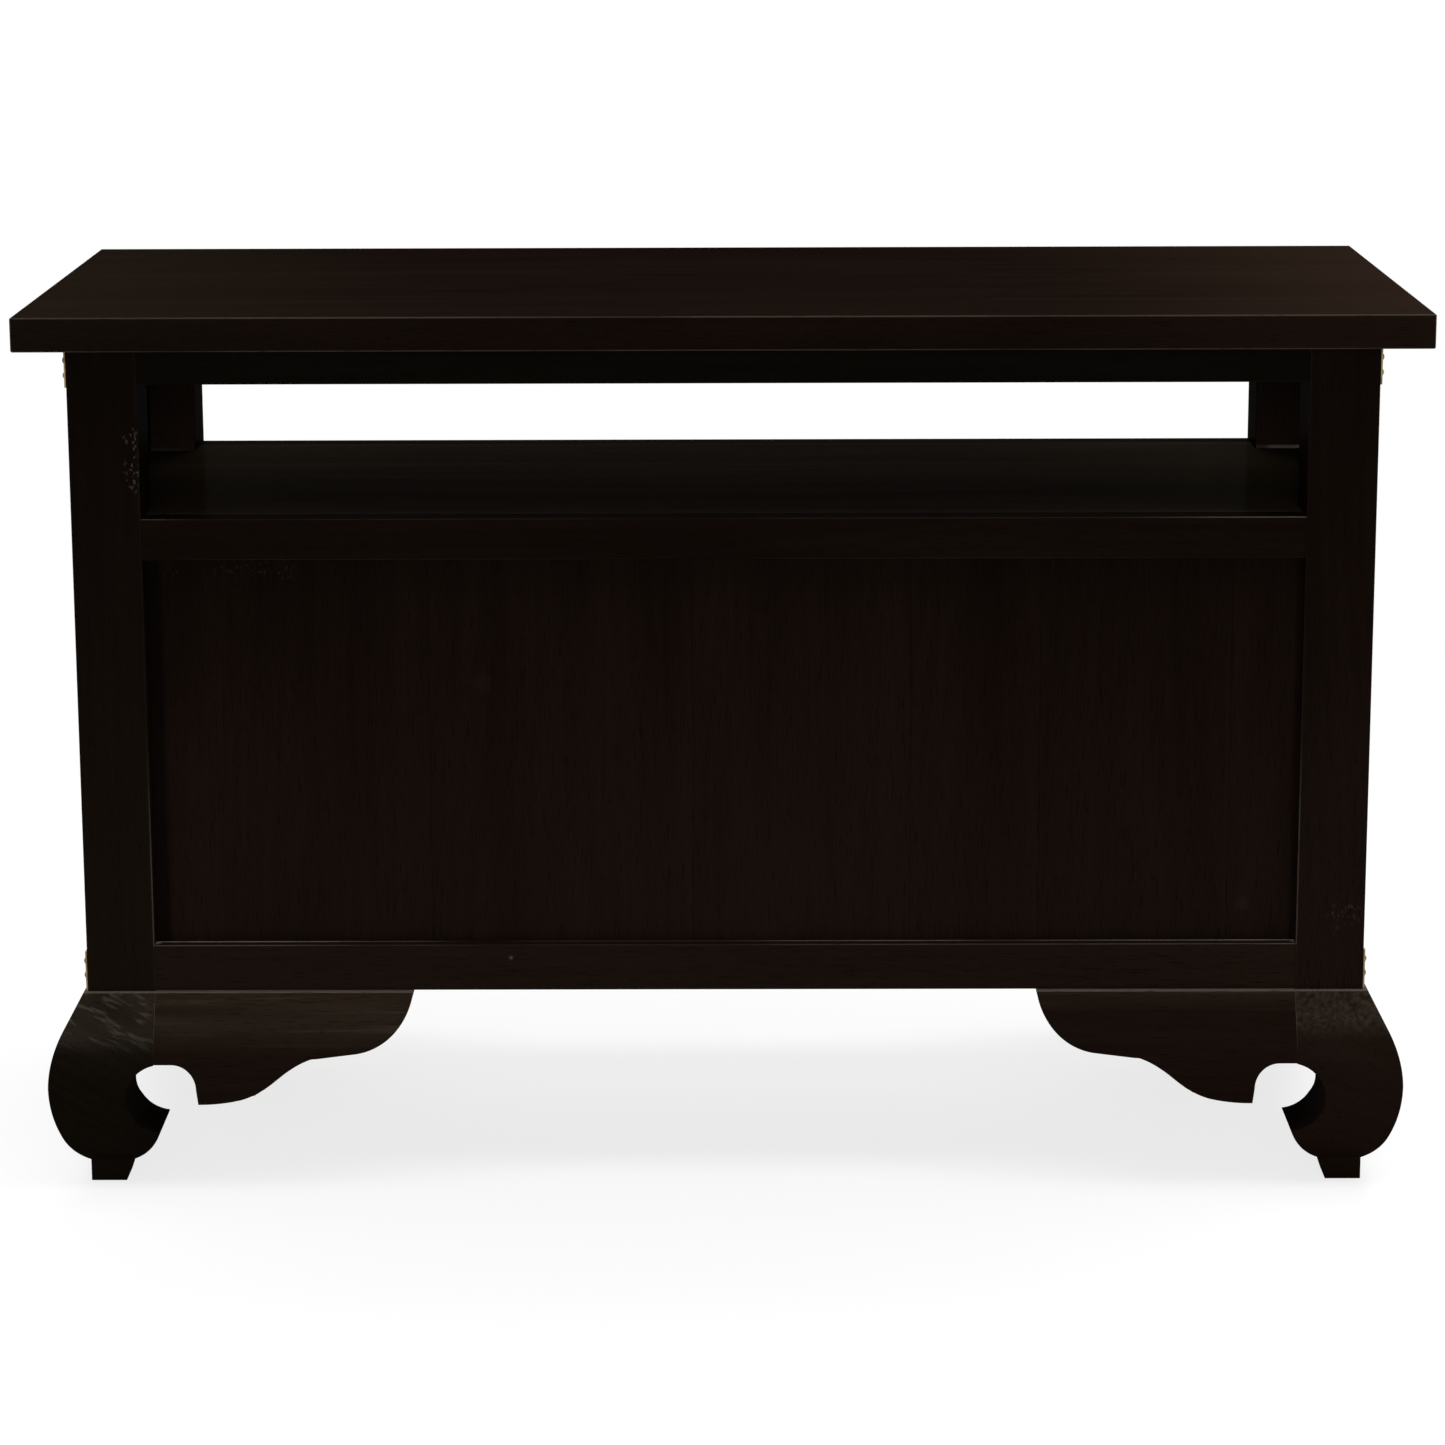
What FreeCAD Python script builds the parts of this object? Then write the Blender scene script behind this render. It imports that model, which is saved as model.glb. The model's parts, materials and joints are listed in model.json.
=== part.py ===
# A low mahogany TV cabinet on hooked opium legs.
# Millimetres. The origin is on the floor under the middle of the top, +Z is up, the doors face -Y.
# Left and right are as seen from in front of the doors, so left is -X and right is +X.
import FreeCAD, Part
import math
import os
import re
import Sketcher

# Driving sizes
SIZES = {
    # top and carcass
    "top_width": 1100,
    "top_depth": 450,
    "top_thick": 27,
    "top_round": 1.5,
    "top_overhang": 36,
    "cabinet_height": 712,
    "leg_height": 160,
    "post_side": 55,
    "post_arris": 1.5,
    "shelf_height": 547,
    # rails and their tenons
    "rail_thick": 28,
    "rail_set": 1,
    "rail_arris": 1,
    "top_rail_height": 31,
    "mid_rail_height": 33,
    "bottom_rail_height": 38,
    "tenon_thick": 10,
    "tenon_web": 10,
    "tenon_margin": 2,
    # panels and boards
    "panel_thick": 8,
    "panel_set": 12,
    "side_panel_set": 8,
    "groove_depth": 8,
    "panel_play": 0.8,
    "shelf_thick": 18,
    "floor_thick": 15,
    "rebate_lip": 2,
    "board_play": 0.5,
    "cleat_width": 20,
    "cleat_height": 20,
    # legs, seen from the back and from the side alike
    "leg_ledge": 3,
    "flare_out": 14,
    "flare_drop": 26,
    "leg_bulge": 30,
    "bulge_height": 87,
    "heel_out": 20,
    "heel_height": 40,
    "foot_face": 2,
    "foot_width": 34.6,
    "foot_height": 18,
    "foot_taper": 6,
    "stem_margin": 3,
    "eye_radius": 29.4,
    "eye_height": 77,
    "eye_inset": 6,
    "hook_reach": 3,
    "knee_bow": 0.062,
    "calf_bow": 0.051,
    "heel_bow": 0.063,
    "hook_bow": 0.095,
    "dowel_radius": 6,
    "dowel_length": 50,
    "top_dowel_length": 36,
    "top_dowel_bite": 14,
    "dowel_play": 0.1,
    # brackets and side aprons
    "bracket_length": 208,
    "bracket_back": 24,
    "eye_corner": 20,
    "toe_start": 34,
    "toe_lean": 1.5,
    "toe_height": 73.5,
    "toe_length": 48,
    "toe_rise": 8,
    "slope_run": 30,
    "slope_rise": 24.5,
    "step_lead": 17,
    "step_lead_rise": 4.8,
    "step_run": 30,
    "step_rise": 3.5,
    "toe_bow": 0.045,
    "step_bow": 0.07,
    "end_bow": 0.175,
    "apron_toe": 20,
    "arch_half": 46,
    "arch_height": 104,
    "arch_bow": 0.09,
    # doors
    "door_thick": 20,
    "door_arris": 1,
    "door_stile": 48,
    "door_rail": 48,
    "door_gap": 2,
    "meeting_gap": 3,
    "door_panel_set": 6,
    "door_tenon": 22,
    # hinges
    "hinge_height": 51,
    "hinge_inset": 40,
    "leaf_thick": 1.2,
    "leaf_play": 0.2,
    "leaf_width": 22,
    "knuckle_radius": 3.2,
    "knuckle_clear": 0.5,
    "knuckle_gap": 0.3,
    "pin_radius": 1.5,
    "pin_play": 0.05,
    "pin_head_radius": 2.4,
    "pin_head_height": 2,
    # knobs
    "knob_radius": 11,
    "knob_length": 27,
    "neck_radius": 5.5,
    "rose_radius": 15,
    "rose_rim": 1.2,
    "rose_thick": 3,
    "spigot_radius": 4,
    "spigot_length": 12,
    "spigot_play": 0.1,
    # catches
    "catch_place": 62,
    "catch_width": 38,
    "catch_depth": 12,
    "catch_drop": 16,
    "catch_lap": 10,
    "catch_gap": 0.3,
    "strike_width": 30,
    "strike_thick": 1.5,
    # corner mounts
    "plate_thick": 1.2,
    "plate_length": 46,
    "plate_height": 33,
    "plate_lip": 7,
    "cusp_along": 21,
    "cusp_up": 17,
    "plate_bow": 0.22,
    "nail_radius": 3.2,
    "nail_dome": 2,
    "nail_inset": 6,
    "nail_low": 12,
    "nail_pitch": 12,
    "nail_far": 28,
    "nail_rim": 7,
}

LEFT, RIGHT = -1, 1
FRONT, REAR = -1, 1
SIDE_NAMES = {LEFT: "left", RIGHT: "right"}
FACE_NAMES = {FRONT: "front", REAR: "rear"}

doc = FreeCAD.newDocument("tv_cabinet")
sheet = doc.addObject("Spreadsheet::Sheet", "Sizes")
for row, (alias, size) in enumerate(SIZES.items(), start=1):
    sheet.set(f"A{row}", alias)
    sheet.set(f"B{row}", str(size))
    sheet.setAlias(f"B{row}", alias)
doc.recompute()
ALIAS = re.compile(r"\b(" + "|".join(SIZES) + r")\b")
sub_parts = []


# Places worked out from the sizes, as expressions
HALF_WIDE = "(top_width / 2 - top_overhang)"
HALF_DEEP = "(top_depth / 2 - top_overhang)"
INSIDE_WIDE = f"({HALF_WIDE} - post_side)"
INSIDE_DEEP = f"({HALF_DEEP} - post_side)"
TOP_UNDER = "(cabinet_height - top_thick)"
FACE_WIDE = f"({HALF_WIDE} - rail_set)"
FACE_DEEP = f"({HALF_DEEP} - rail_set)"
RAIL_IN_WIDE = f"({FACE_WIDE} - rail_thick)"
RAIL_IN_DEEP = f"({FACE_DEEP} - rail_thick)"
TOP_DOWEL_HIGH = f"({TOP_UNDER} + top_dowel_bite)"
TOP_DOWEL_LOW = f"({TOP_DOWEL_HIGH} - top_dowel_length)"
LEG_DOWEL_HIGH = "(leg_height + dowel_length / 2)"
LEG_DOWEL_LOW = "(leg_height - dowel_length / 2)"
HOLE_RADIUS = "(dowel_radius + dowel_play)"
TOP_RAIL_LOW = f"({TOP_UNDER} - top_rail_height)"
MID_RAIL_LOW = "(shelf_height - mid_rail_height)"
BOTTOM_RAIL_TOP = "(leg_height + bottom_rail_height)"
TENON_LENGTH = "(post_side - rail_set - rail_thick / 2 - tenon_thick / 2 - tenon_web)"
TENON_SHOULDER = "(groove_depth + tenon_margin)"
TENON_DEEP = f"({FACE_DEEP} - rail_thick / 2 - tenon_thick / 2)"
TENON_WIDE = f"({FACE_WIDE} - rail_thick / 2 - tenon_thick / 2)"
BACK_PANEL_OUT = f"({HALF_DEEP} - panel_set)"
BACK_PANEL_IN = f"({BACK_PANEL_OUT} - panel_thick)"
SIDE_PANEL_OUT = f"({HALF_WIDE} - side_panel_set)"
SIDE_PANEL_IN = f"({SIDE_PANEL_OUT} - panel_thick)"
TONGUE = "(groove_depth - panel_play)"
BOARD_DEEP = f"({BACK_PANEL_IN} - rebate_lip)"
SHELF_UNDER = "(shelf_height - shelf_thick)"
FLOOR_UNDER = f"({BOTTOM_RAIL_TOP} - floor_thick)"
PIN_WIDE = f"({INSIDE_WIDE} - leaf_thick - leaf_play / 2)"
PIN_DEEP = f"({HALF_DEEP} + knuckle_clear + knuckle_radius)"
DOOR_OUT = f"({PIN_WIDE} - leaf_play / 2 - leaf_thick)"
DOOR_IN = "(meeting_gap / 2)"
DOOR_LOW = f"({BOTTOM_RAIL_TOP} + door_gap)"
DOOR_HIGH = f"({MID_RAIL_LOW} - door_gap)"
DOOR_BACK = f"({FACE_DEEP} - door_thick)"
DOOR_GROOVE_OUT = f"({FACE_DEEP} - door_panel_set)"
DOOR_GROOVE_IN = f"({DOOR_GROOVE_OUT} - panel_thick)"
EYE_TOP = "(eye_height + eye_radius)"
EYE_RISE = "sqrt(eye_radius^2 - eye_inset^2)"
EYE_DROP = "sqrt(eye_radius^2 - (eye_inset - hook_reach)^2)"
EYE_CHORD = f"sqrt(hook_reach^2 + ({EYE_RISE} + {EYE_DROP})^2)"
EYE_BOW = f"((eye_radius - sqrt(eye_radius^2 - {EYE_CHORD}^2 / 4)) / {EYE_CHORD})"
HOOK_TIP = "(-post_side - hook_reach)"
QUARTER_BOW = "((sqrt(2) - 1) / 2)"
FOOT_IN = "(foot_face - foot_width)"
KNOB_UNDER = "(knob_length - knob_radius - sqrt(knob_radius^2 - neck_radius^2))"
KNOB_CHORD = f"sqrt(neck_radius^2 + (knob_length - {KNOB_UNDER})^2)"
KNOB_BOW = f"((knob_radius - sqrt(knob_radius^2 - {KNOB_CHORD}^2 / 4)) / {KNOB_CHORD})"
DOME_RADIUS = "((nail_radius^2 + nail_dome^2) / (2 * nail_dome))"


# Expressions
def bound(text):
    """An expression on the sheet's cells."""
    return ALIAS.sub(r"Sizes.\1", text)


def number(text):
    """What an expression comes to now."""
    return float(sheet.evalExpression(bound(text)))


def span(side, low, high):
    """A low and a high value, mirrored to the minus side where side is -1."""
    if side > 0:
        return low, high
    return f"-({high})", f"-({low})"


def place(obj, x="0", y="0", z="0"):
    """Binds where an object stands."""
    for axis, text in (("x", x), ("y", y), ("z", z)):
        obj.setExpression(f"Placement.Base.{axis}", bound(text))


def turn(obj, axis, angle):
    """Turns an object about an axis through its own origin."""
    obj.Placement = FreeCAD.Placement(FreeCAD.Vector(), FreeCAD.Rotation(FreeCAD.Vector(*axis), angle))


# Building blocks
def block(name, x, y, z):
    """A squared piece of wood or metal between a low and a high value on each axis."""
    box = doc.addObject("Part::Box", name)
    for size, (low, high) in (("Length", x), ("Width", y), ("Height", z)):
        box.setExpression(size, bound(f"{high} - ({low})"))
    place(box, x[0], y[0], z[0])
    return box


def rod(name, radius, x, y, z):
    """An upright round bar between two heights."""
    bar = doc.addObject("Part::Cylinder", name)
    bar.setExpression("Radius", bound(radius))
    bar.setExpression("Height", bound(f"{z[1]} - ({z[0]})"))
    place(bar, x, y, z[0])
    return bar


def joined(name, pieces):
    """Several shapes made one."""
    if len(pieces) == 1:
        return pieces[0]
    union = doc.addObject("Part::MultiFuse", name)
    union.Shapes = pieces
    union.Refine = True
    return union


def shaped(label, blank, add=(), remove=()):
    """A blank with pieces added to it and others cut from it."""
    whole = joined(f"{label}_whole", [blank, *add])
    if not remove:
        return whole
    result = doc.addObject("Part::Cut", f"{label}_cut")
    result.Base = whole
    result.Tool = joined(f"{label}_waste", list(remove))
    result.Refine = True
    return result


def grouped(pieces, name):
    """Like pieces that stay separate solids in one sub-part."""
    group = doc.addObject("Part::Compound", name)
    group.Links = pieces
    return group


def keep(label, obj):
    """Names a finished sub-part."""
    obj.Label = label
    sub_parts.append(obj)
    return obj


def mirrored(corners):
    """An outline turned over left to right, still drawn counter-clockwise."""
    count = len(corners)
    return [(f"-({corners[i][0]})", corners[i][1], corners[i - 1][2]) for i in range(count - 1, -1, -1)]


def raised(corners, across, up):
    """An outline whose corners go through two functions that give their places on the cabinet."""
    return [(across(along), up(rise), bow) for along, rise, bow in corners]


def draw(sketch, corners):
    """Draws a closed outline, counter-clockwise, with every corner and radius bound to the sheet.

    A corner is (across, up, bow), where bow is the rise of the arc to the next corner as a share of its
    chord: more than 0 swells outwards, less than 0 hollows the outline, and None is a straight line.
    """
    points = [FreeCAD.Vector(number(across), number(up), 0) for across, up, _ in corners]
    count = len(corners)
    ends = []
    for i, (across, up, bow) in enumerate(corners):
        start, end = points[i], points[(i + 1) % count]
        if bow is None:
            sketch.addGeometry(Part.LineSegment(start, end), False)
            ends.append((1, 2))
            continue
        share = number(bow)
        chord = end - start
        outward = FreeCAD.Vector(chord.y, -chord.x, 0)
        radius = chord.Length * (0.25 + share ** 2) / (2 * abs(share))
        toward = outward.normalize() * math.copysign(1, share)
        centre = (start + end) / 2 + toward * (abs(share) * chord.Length - radius)
        begin, stop = (start, end) if share > 0 else (end, start)
        angles = [math.atan2(p.y - centre.y, p.x - centre.x) for p in (begin, stop)]
        circle = Part.Circle(centre, FreeCAD.Vector(0, 0, 1), radius)
        sketch.addGeometry(Part.ArcOfCircle(circle, angles[0], angles[1]), False)
        ends.append((1, 2) if share > 0 else (2, 1))
    for i, (across, up, bow) in enumerate(corners):
        after = (i + 1) % count
        begin, stop = ends[i]
        sketch.addConstraint(Sketcher.Constraint("Coincident", i, stop, after, ends[after][0]))
        bind(sketch, f"across{i}", Sketcher.Constraint("DistanceX", -1, 1, i, begin, points[i].x), across)
        bind(sketch, f"up{i}", Sketcher.Constraint("DistanceY", -1, 1, i, begin, points[i].y), up)
        if bow is not None:
            chord = f"sqrt(({corners[after][0]} - ({across}))^2 + ({corners[after][1]} - ({up}))^2)"
            radius = f"{chord} * (0.25 + ({bow})^2) / (2 * abs({bow}))"
            bind(sketch, f"radius{i}", Sketcher.Constraint("Radius", i, number(radius)), radius)


def bind(sketch, name, constraint, text):
    """Adds a named size to a sketch and binds it to the sheet."""
    index = sketch.addConstraint(constraint)
    sketch.renameConstraint(index, name)
    sketch.setExpression(f"Constraints.{name}", bound(text))


def sketch_in(body, role, corners):
    """A sketch of an outline on one of a body's own planes."""
    sketch = body.newObject("Sketcher::SketchObject", "outline")
    plane = next(feature for feature in body.Origin.OriginFeatures if feature.Role == role)
    sketch.AttachmentSupport = [(plane, "")]
    sketch.MapMode = "FlatFace"
    draw(sketch, corners)
    return sketch


def padded(name, role, corners, length):
    """A body sawn to an outline. It runs towards -Y from the XZ plane, or towards +X from the YZ plane."""
    body = doc.addObject("PartDesign::Body", name)
    pad = body.newObject("PartDesign::Pad", "pad")
    pad.Profile = sketch_in(body, role, corners)
    pad.setExpression("Length", bound(length))
    body.Tip = pad
    return body


def stick(name, along, x, y, z, arris):
    """A squared length of wood with its four long edges eased."""
    role, across, up = {"X": ("YZ_Plane", y, z), "Y": ("XZ_Plane", x, z), "Z": ("XY_Plane", x, y)}[along]
    (left, right), (low, high) = across, up
    corners = [
        (f"{left} + {arris}", low, None),
        (f"{right} - {arris}", low, QUARTER_BOW),
        (right, f"{low} + {arris}", None),
        (right, f"{high} - {arris}", QUARTER_BOW),
        (f"{right} - {arris}", high, None),
        (f"{left} + {arris}", high, QUARTER_BOW),
        (left, f"{high} - {arris}", None),
        (left, f"{low} + {arris}", QUARTER_BOW),
    ]
    start, end = {"X": x, "Y": y, "Z": z}[along]
    body = padded(name, role, corners, f"{end} - ({start})")
    place(body, **{along.lower(): end if along == "Y" else start})
    return body


# Top
def make_top():
    corners = [
        ("-top_width / 2", "-top_depth / 2", None),
        ("top_width / 2", "-top_depth / 2", None),
        ("top_width / 2", "top_depth / 2", None),
        ("-top_width / 2", "top_depth / 2", None),
    ]
    body = padded("top_board_body", "XY_Plane", corners, "top_thick")
    place(body, z=TOP_UNDER)
    doc.recompute()
    sawn = body.Tip
    rounding = body.newObject("PartDesign::Fillet", "softened_edges")
    rounding.Base = (sawn, ["Edge1"])
    rounding.UseAllEdges = True
    rounding.setExpression("Radius", bound("top_round"))
    body.Tip = rounding
    depth = (TOP_UNDER, TOP_DOWEL_HIGH)
    holes = [rod("top_dowel_hole", HOLE_RADIUS, *post_middle(side, face), depth) for side, face in LEG_TURNS]
    keep("top_board", shaped("top_board", body, remove=holes))


# Posts and rails
RAIL_HEIGHTS = {
    "top": (TOP_RAIL_LOW, TOP_UNDER),
    "mid": (MID_RAIL_LOW, "shelf_height"),
    "bottom": ("leg_height", BOTTOM_RAIL_TOP),
}


def tenon_height(level):
    """How far a rail's tenon runs up and down, clear of the panel grooves."""
    low, high = RAIL_HEIGHTS[level]
    return f"{low} + {TENON_SHOULDER}", f"{high} - {TENON_SHOULDER}"


def long_tenon(name, side, face, level):
    """The tenon at one end of a front or rear rail, or the mortise for it."""
    x = span(side, INSIDE_WIDE, f"{INSIDE_WIDE} + {TENON_LENGTH}")
    y = span(face, TENON_DEEP, f"{TENON_DEEP} + tenon_thick")
    return block(name, x, y, tenon_height(level))


def short_tenon(name, side, face, level):
    """The tenon at one end of a side rail, or the mortise for it."""
    x = span(side, TENON_WIDE, f"{TENON_WIDE} + tenon_thick")
    y = span(face, INSIDE_DEEP, f"{INSIDE_DEEP} + {TENON_LENGTH}")
    return block(name, x, y, tenon_height(level))


def post_middle(side, face):
    """The middle of a post, as a pair of expressions."""
    return f"{side} * ({HALF_WIDE} - post_side / 2)", f"{face} * ({HALF_DEEP} - post_side / 2)"


def make_post(side, face):
    label = f"{FACE_NAMES[face]}_{SIDE_NAMES[side]}_post"
    blank = stick(
        f"{label}_blank",
        "Z",
        span(side, INSIDE_WIDE, HALF_WIDE),
        span(face, INSIDE_DEEP, HALF_DEEP),
        ("leg_height", TOP_UNDER),
        "post_arris",
    )
    waste = [long_tenon(f"{label}_long_mortise", side, face, level) for level in RAIL_HEIGHTS]
    waste += [short_tenon(f"{label}_short_mortise", side, face, level) for level in ("top", "bottom")]
    waste.append(
        block(
            f"{label}_side_groove",
            span(side, SIDE_PANEL_IN, SIDE_PANEL_OUT),
            span(face, INSIDE_DEEP, f"{INSIDE_DEEP} + groove_depth"),
            (f"{BOTTOM_RAIL_TOP} - groove_depth", f"{TOP_RAIL_LOW} + groove_depth"),
        )
    )
    if face == REAR:
        waste.append(
            block(
                f"{label}_back_groove",
                span(side, INSIDE_WIDE, f"{INSIDE_WIDE} + groove_depth"),
                (BACK_PANEL_IN, BACK_PANEL_OUT),
                (f"{BOTTOM_RAIL_TOP} - groove_depth", f"{MID_RAIL_LOW} + groove_depth"),
            )
        )
    x, y = post_middle(side, face)
    for depth in (("leg_height", LEG_DOWEL_HIGH), (TOP_DOWEL_LOW, TOP_UNDER)):
        waste.append(rod(f"{label}_dowel_hole", HOLE_RADIUS, x, y, depth))
    keep(label, shaped(label, blank, remove=waste))


def make_long_rail(face, level):
    """A rail from side to side, at the front or the rear."""
    label = f"{FACE_NAMES[face]}_{level}_rail"
    low, high = RAIL_HEIGHTS[level]
    inside = (f"-{INSIDE_WIDE}", INSIDE_WIDE)
    deep = span(face, RAIL_IN_DEEP, FACE_DEEP)
    blank = stick(f"{label}_blank", "X", inside, deep, (low, high), "rail_arris")
    tenons = [long_tenon(f"{label}_tenon", side, face, level) for side in (LEFT, RIGHT)]
    waste = []
    if level != "top":
        under = SHELF_UNDER if level == "mid" else FLOOR_UNDER
        waste.append(block(f"{label}_rebate", inside, span(face, RAIL_IN_DEEP, BOARD_DEEP), (under, high)))
    if face == REAR and level != "top":
        groove = (low, f"{low} + groove_depth") if level == "mid" else (f"{high} - groove_depth", high)
        waste.append(block(f"{label}_groove", inside, (BACK_PANEL_IN, BACK_PANEL_OUT), groove))
    keep(label, shaped(label, blank, tenons, waste))


def make_short_rail(side, level):
    """A rail from front to rear, at one side."""
    label = f"{SIDE_NAMES[side]}_{level}_rail"
    low, high = RAIL_HEIGHTS[level]
    inside = (f"-{INSIDE_DEEP}", INSIDE_DEEP)
    wide = span(side, RAIL_IN_WIDE, FACE_WIDE)
    blank = stick(f"{label}_blank", "Y", wide, inside, (low, high), "rail_arris")
    tenons = [short_tenon(f"{label}_tenon", side, face, level) for face in (FRONT, REAR)]
    groove = (low, f"{low} + groove_depth") if level == "top" else (f"{high} - groove_depth", high)
    waste = [block(f"{label}_groove", span(side, SIDE_PANEL_IN, SIDE_PANEL_OUT), inside, groove)]
    keep(label, shaped(label, blank, tenons, waste))


# Panels and boards
def make_panels():
    wide = f"{INSIDE_WIDE} + {TONGUE}"
    low = f"{BOTTOM_RAIL_TOP} - {TONGUE}"
    back = block(
        "back_panel_blank",
        (f"-({wide})", wide),
        (BACK_PANEL_IN, BACK_PANEL_OUT),
        (low, f"{MID_RAIL_LOW} + {TONGUE}"),
    )
    keep("back_panel", back)
    deep = f"{INSIDE_DEEP} + {TONGUE}"
    for side in (LEFT, RIGHT):
        label = f"{SIDE_NAMES[side]}_side_panel"
        panel = block(
            f"{label}_blank",
            span(side, SIDE_PANEL_IN, SIDE_PANEL_OUT),
            (f"-({deep})", deep),
            (low, f"{TOP_RAIL_LOW} + {TONGUE}"),
        )
        keep(label, panel)


def make_board(label, half_wide, z):
    """A board that lies in the rails' rebates, notched round the four posts."""
    wide = f"({half_wide} - board_play)"
    deep = f"({BOARD_DEEP} - board_play)"
    blank = block(f"{label}_blank", (f"-{wide}", wide), (f"-{deep}", deep), z)
    notches = [
        block(
            f"{label}_notch",
            span(side, f"{INSIDE_WIDE} - board_play", HALF_WIDE),
            span(face, f"{INSIDE_DEEP} - board_play", HALF_DEEP),
            z,
        )
        for side in (LEFT, RIGHT)
        for face in (FRONT, REAR)
    ]
    keep(label, shaped(label, blank, remove=notches))


def make_cleat(side):
    """The strip on a side panel that carries the end of the shelf."""
    label = f"{SIDE_NAMES[side]}_shelf_cleat"
    cleat = block(
        f"{label}_blank",
        span(side, f"{SIDE_PANEL_IN} - cleat_width", SIDE_PANEL_IN),
        (f"-{INSIDE_DEEP}", INSIDE_DEEP),
        (f"{SHELF_UNDER} - cleat_height", SHELF_UNDER),
    )
    keep(label, cleat)


# Opium legs, brackets and aprons
KNEE = ("leg_ledge + flare_out", "leg_height - flare_drop")
OUTER_CURVE = [
    ("heel_out", "heel_height", "calf_bow"),
    ("leg_bulge", "bulge_height", "knee_bow"),
    (*KNEE, None),
    ("leg_ledge", "leg_height", None),
]
LEG_OUTLINE = [
    ("-post_side", "leg_height", None),
    ("-post_side", f"eye_height + {EYE_RISE}", f"-{EYE_BOW}"),
    (HOOK_TIP, f"eye_height - {EYE_DROP}", "hook_bow"),
    (FOOT_IN, "foot_height", None),
    (f"{FOOT_IN} + foot_taper", "0", None),
    ("foot_face", "0", None),
    ("foot_face", "foot_height", "heel_bow"),
    *OUTER_CURVE,
]
LEG_TURNS = {(RIGHT, REAR): 0, (LEFT, REAR): 90, (LEFT, FRONT): 180, (RIGHT, FRONT): 270}


def make_leg(side, face):
    """A hooked leg, sawn to one outline from the back and again from the side.

    It is made at the origin, which is the cabinet's upright corner edge, and then turned to its own corner.
    """
    label = f"{FACE_NAMES[face]}_{SIDE_NAMES[side]}_leg"
    reach = f"leg_bulge - {HOOK_TIP}"
    from_back = padded(f"{label}_back_outline", "XZ_Plane", LEG_OUTLINE, reach)
    place(from_back, y="leg_bulge")
    from_side = padded(f"{label}_side_outline", "YZ_Plane", LEG_OUTLINE, reach)
    place(from_side, x=HOOK_TIP)
    sawn = doc.addObject("Part::Common", f"{label}_sawn")
    sawn.Base = from_back
    sawn.Tool = from_side
    behind_stem = (HOOK_TIP, f"{FOOT_IN} - stem_margin")
    middle = "-post_side / 2"
    waste = [
        block(f"{label}_inner_corner", behind_stem, behind_stem, ("0", "eye_height")),
        rod(f"{label}_dowel_hole", HOLE_RADIUS, middle, middle, (LEG_DOWEL_LOW, "leg_height")),
    ]
    leg = shaped(label, sawn, remove=waste)
    turn(leg, (0, 0, 1), LEG_TURNS[side, face])
    place(leg, f"{side} * {HALF_WIDE}", f"{face} * {HALF_DEEP}")
    keep(label, leg)


def make_dowels(label, low, high):
    """A dowel at each post, down into its leg or up into the top."""
    dowels = [rod("dowel", "dowel_radius", *post_middle(side, face), (low, high)) for side, face in LEG_TURNS]
    keep(label, grouped(dowels, f"{label}_group"))


TOE_END = "(toe_start + toe_lean + toe_length)"
EYE_SIDE = [
    ("0", "leg_height", None),
    ("0", EYE_TOP, None),
    ("toe_start - eye_corner", EYE_TOP, f"-{QUARTER_BOW}"),
    ("toe_start", f"{EYE_TOP} - eye_corner", None),
]
BRACKET_OUTLINE = [
    *EYE_SIDE,
    ("toe_start + toe_lean", "toe_height", "toe_bow"),
    (TOE_END, "toe_height + toe_rise", None),
    (f"{TOE_END} + slope_run", "toe_height + toe_rise + slope_rise", "-step_bow"),
    (f"{TOE_END} + slope_run + step_lead", "toe_height + toe_rise + slope_rise + step_lead_rise", None),
    (
        f"{TOE_END} + slope_run + step_lead + step_run",
        "toe_height + toe_rise + slope_rise + step_lead_rise + step_rise",
        "end_bow",
    ),
    ("bracket_length", "leg_height", None),
]
BULGE_SECTION = [("-bracket_back", "leg_height", None), ("-bracket_back", "heel_height", None), *OUTER_CURVE]


def bulged(label, outline, start, length):
    """A board sawn to an outline from outside, whose outer face swells as the legs do."""
    face_on = padded(f"{label}_outline", "XZ_Plane", outline, "bracket_back + leg_bulge")
    place(face_on, y="leg_bulge")
    section = padded(f"{label}_section", "YZ_Plane", BULGE_SECTION, length)
    place(section, x=start)
    sawn = doc.addObject("Part::Common", f"{label}_sawn")
    sawn.Base = face_on
    sawn.Tool = section
    return sawn


def make_bracket(side, face):
    """A bracket beside a leg, at the front or the rear."""
    label = f"{FACE_NAMES[face]}_{SIDE_NAMES[side]}_bracket"
    if side * face < 0:
        bracket = bulged(label, BRACKET_OUTLINE, "0", "bracket_length")
    else:
        bracket = bulged(label, mirrored(BRACKET_OUTLINE), "-bracket_length", "bracket_length")
    turn(bracket, (0, 0, 1), 0 if face == REAR else 180)
    place(bracket, f"{side} * {INSIDE_WIDE}", f"{face} * {HALF_DEEP}")
    keep(label, bracket)


def make_apron(side):
    """The board between the legs at one side: a bracket's toe at each end and an arch between them."""
    label = f"{SIDE_NAMES[side]}_apron"
    near_half = [(f"{across} - {INSIDE_DEEP}", up, bow) for across, up, bow in EYE_SIDE]
    toe_end = f"toe_start + toe_lean + apron_toe - {INSIDE_DEEP}"
    near_half += [
        (f"toe_start + toe_lean - {INSIDE_DEEP}", "toe_height", "toe_bow"),
        (toe_end, "toe_height + toe_rise", None),
        ("-arch_half", "arch_height", "-arch_bow"),
    ]
    far_half = mirrored(near_half[:-1] + [("-arch_half", "arch_height", None)])
    apron = bulged(label, near_half + far_half, f"-{INSIDE_DEEP}", f"2 * {INSIDE_DEEP}")
    turn(apron, (0, 0, 1), -90 * side)
    place(apron, x=f"{side} * {HALF_WIDE}")
    keep(label, apron)


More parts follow.
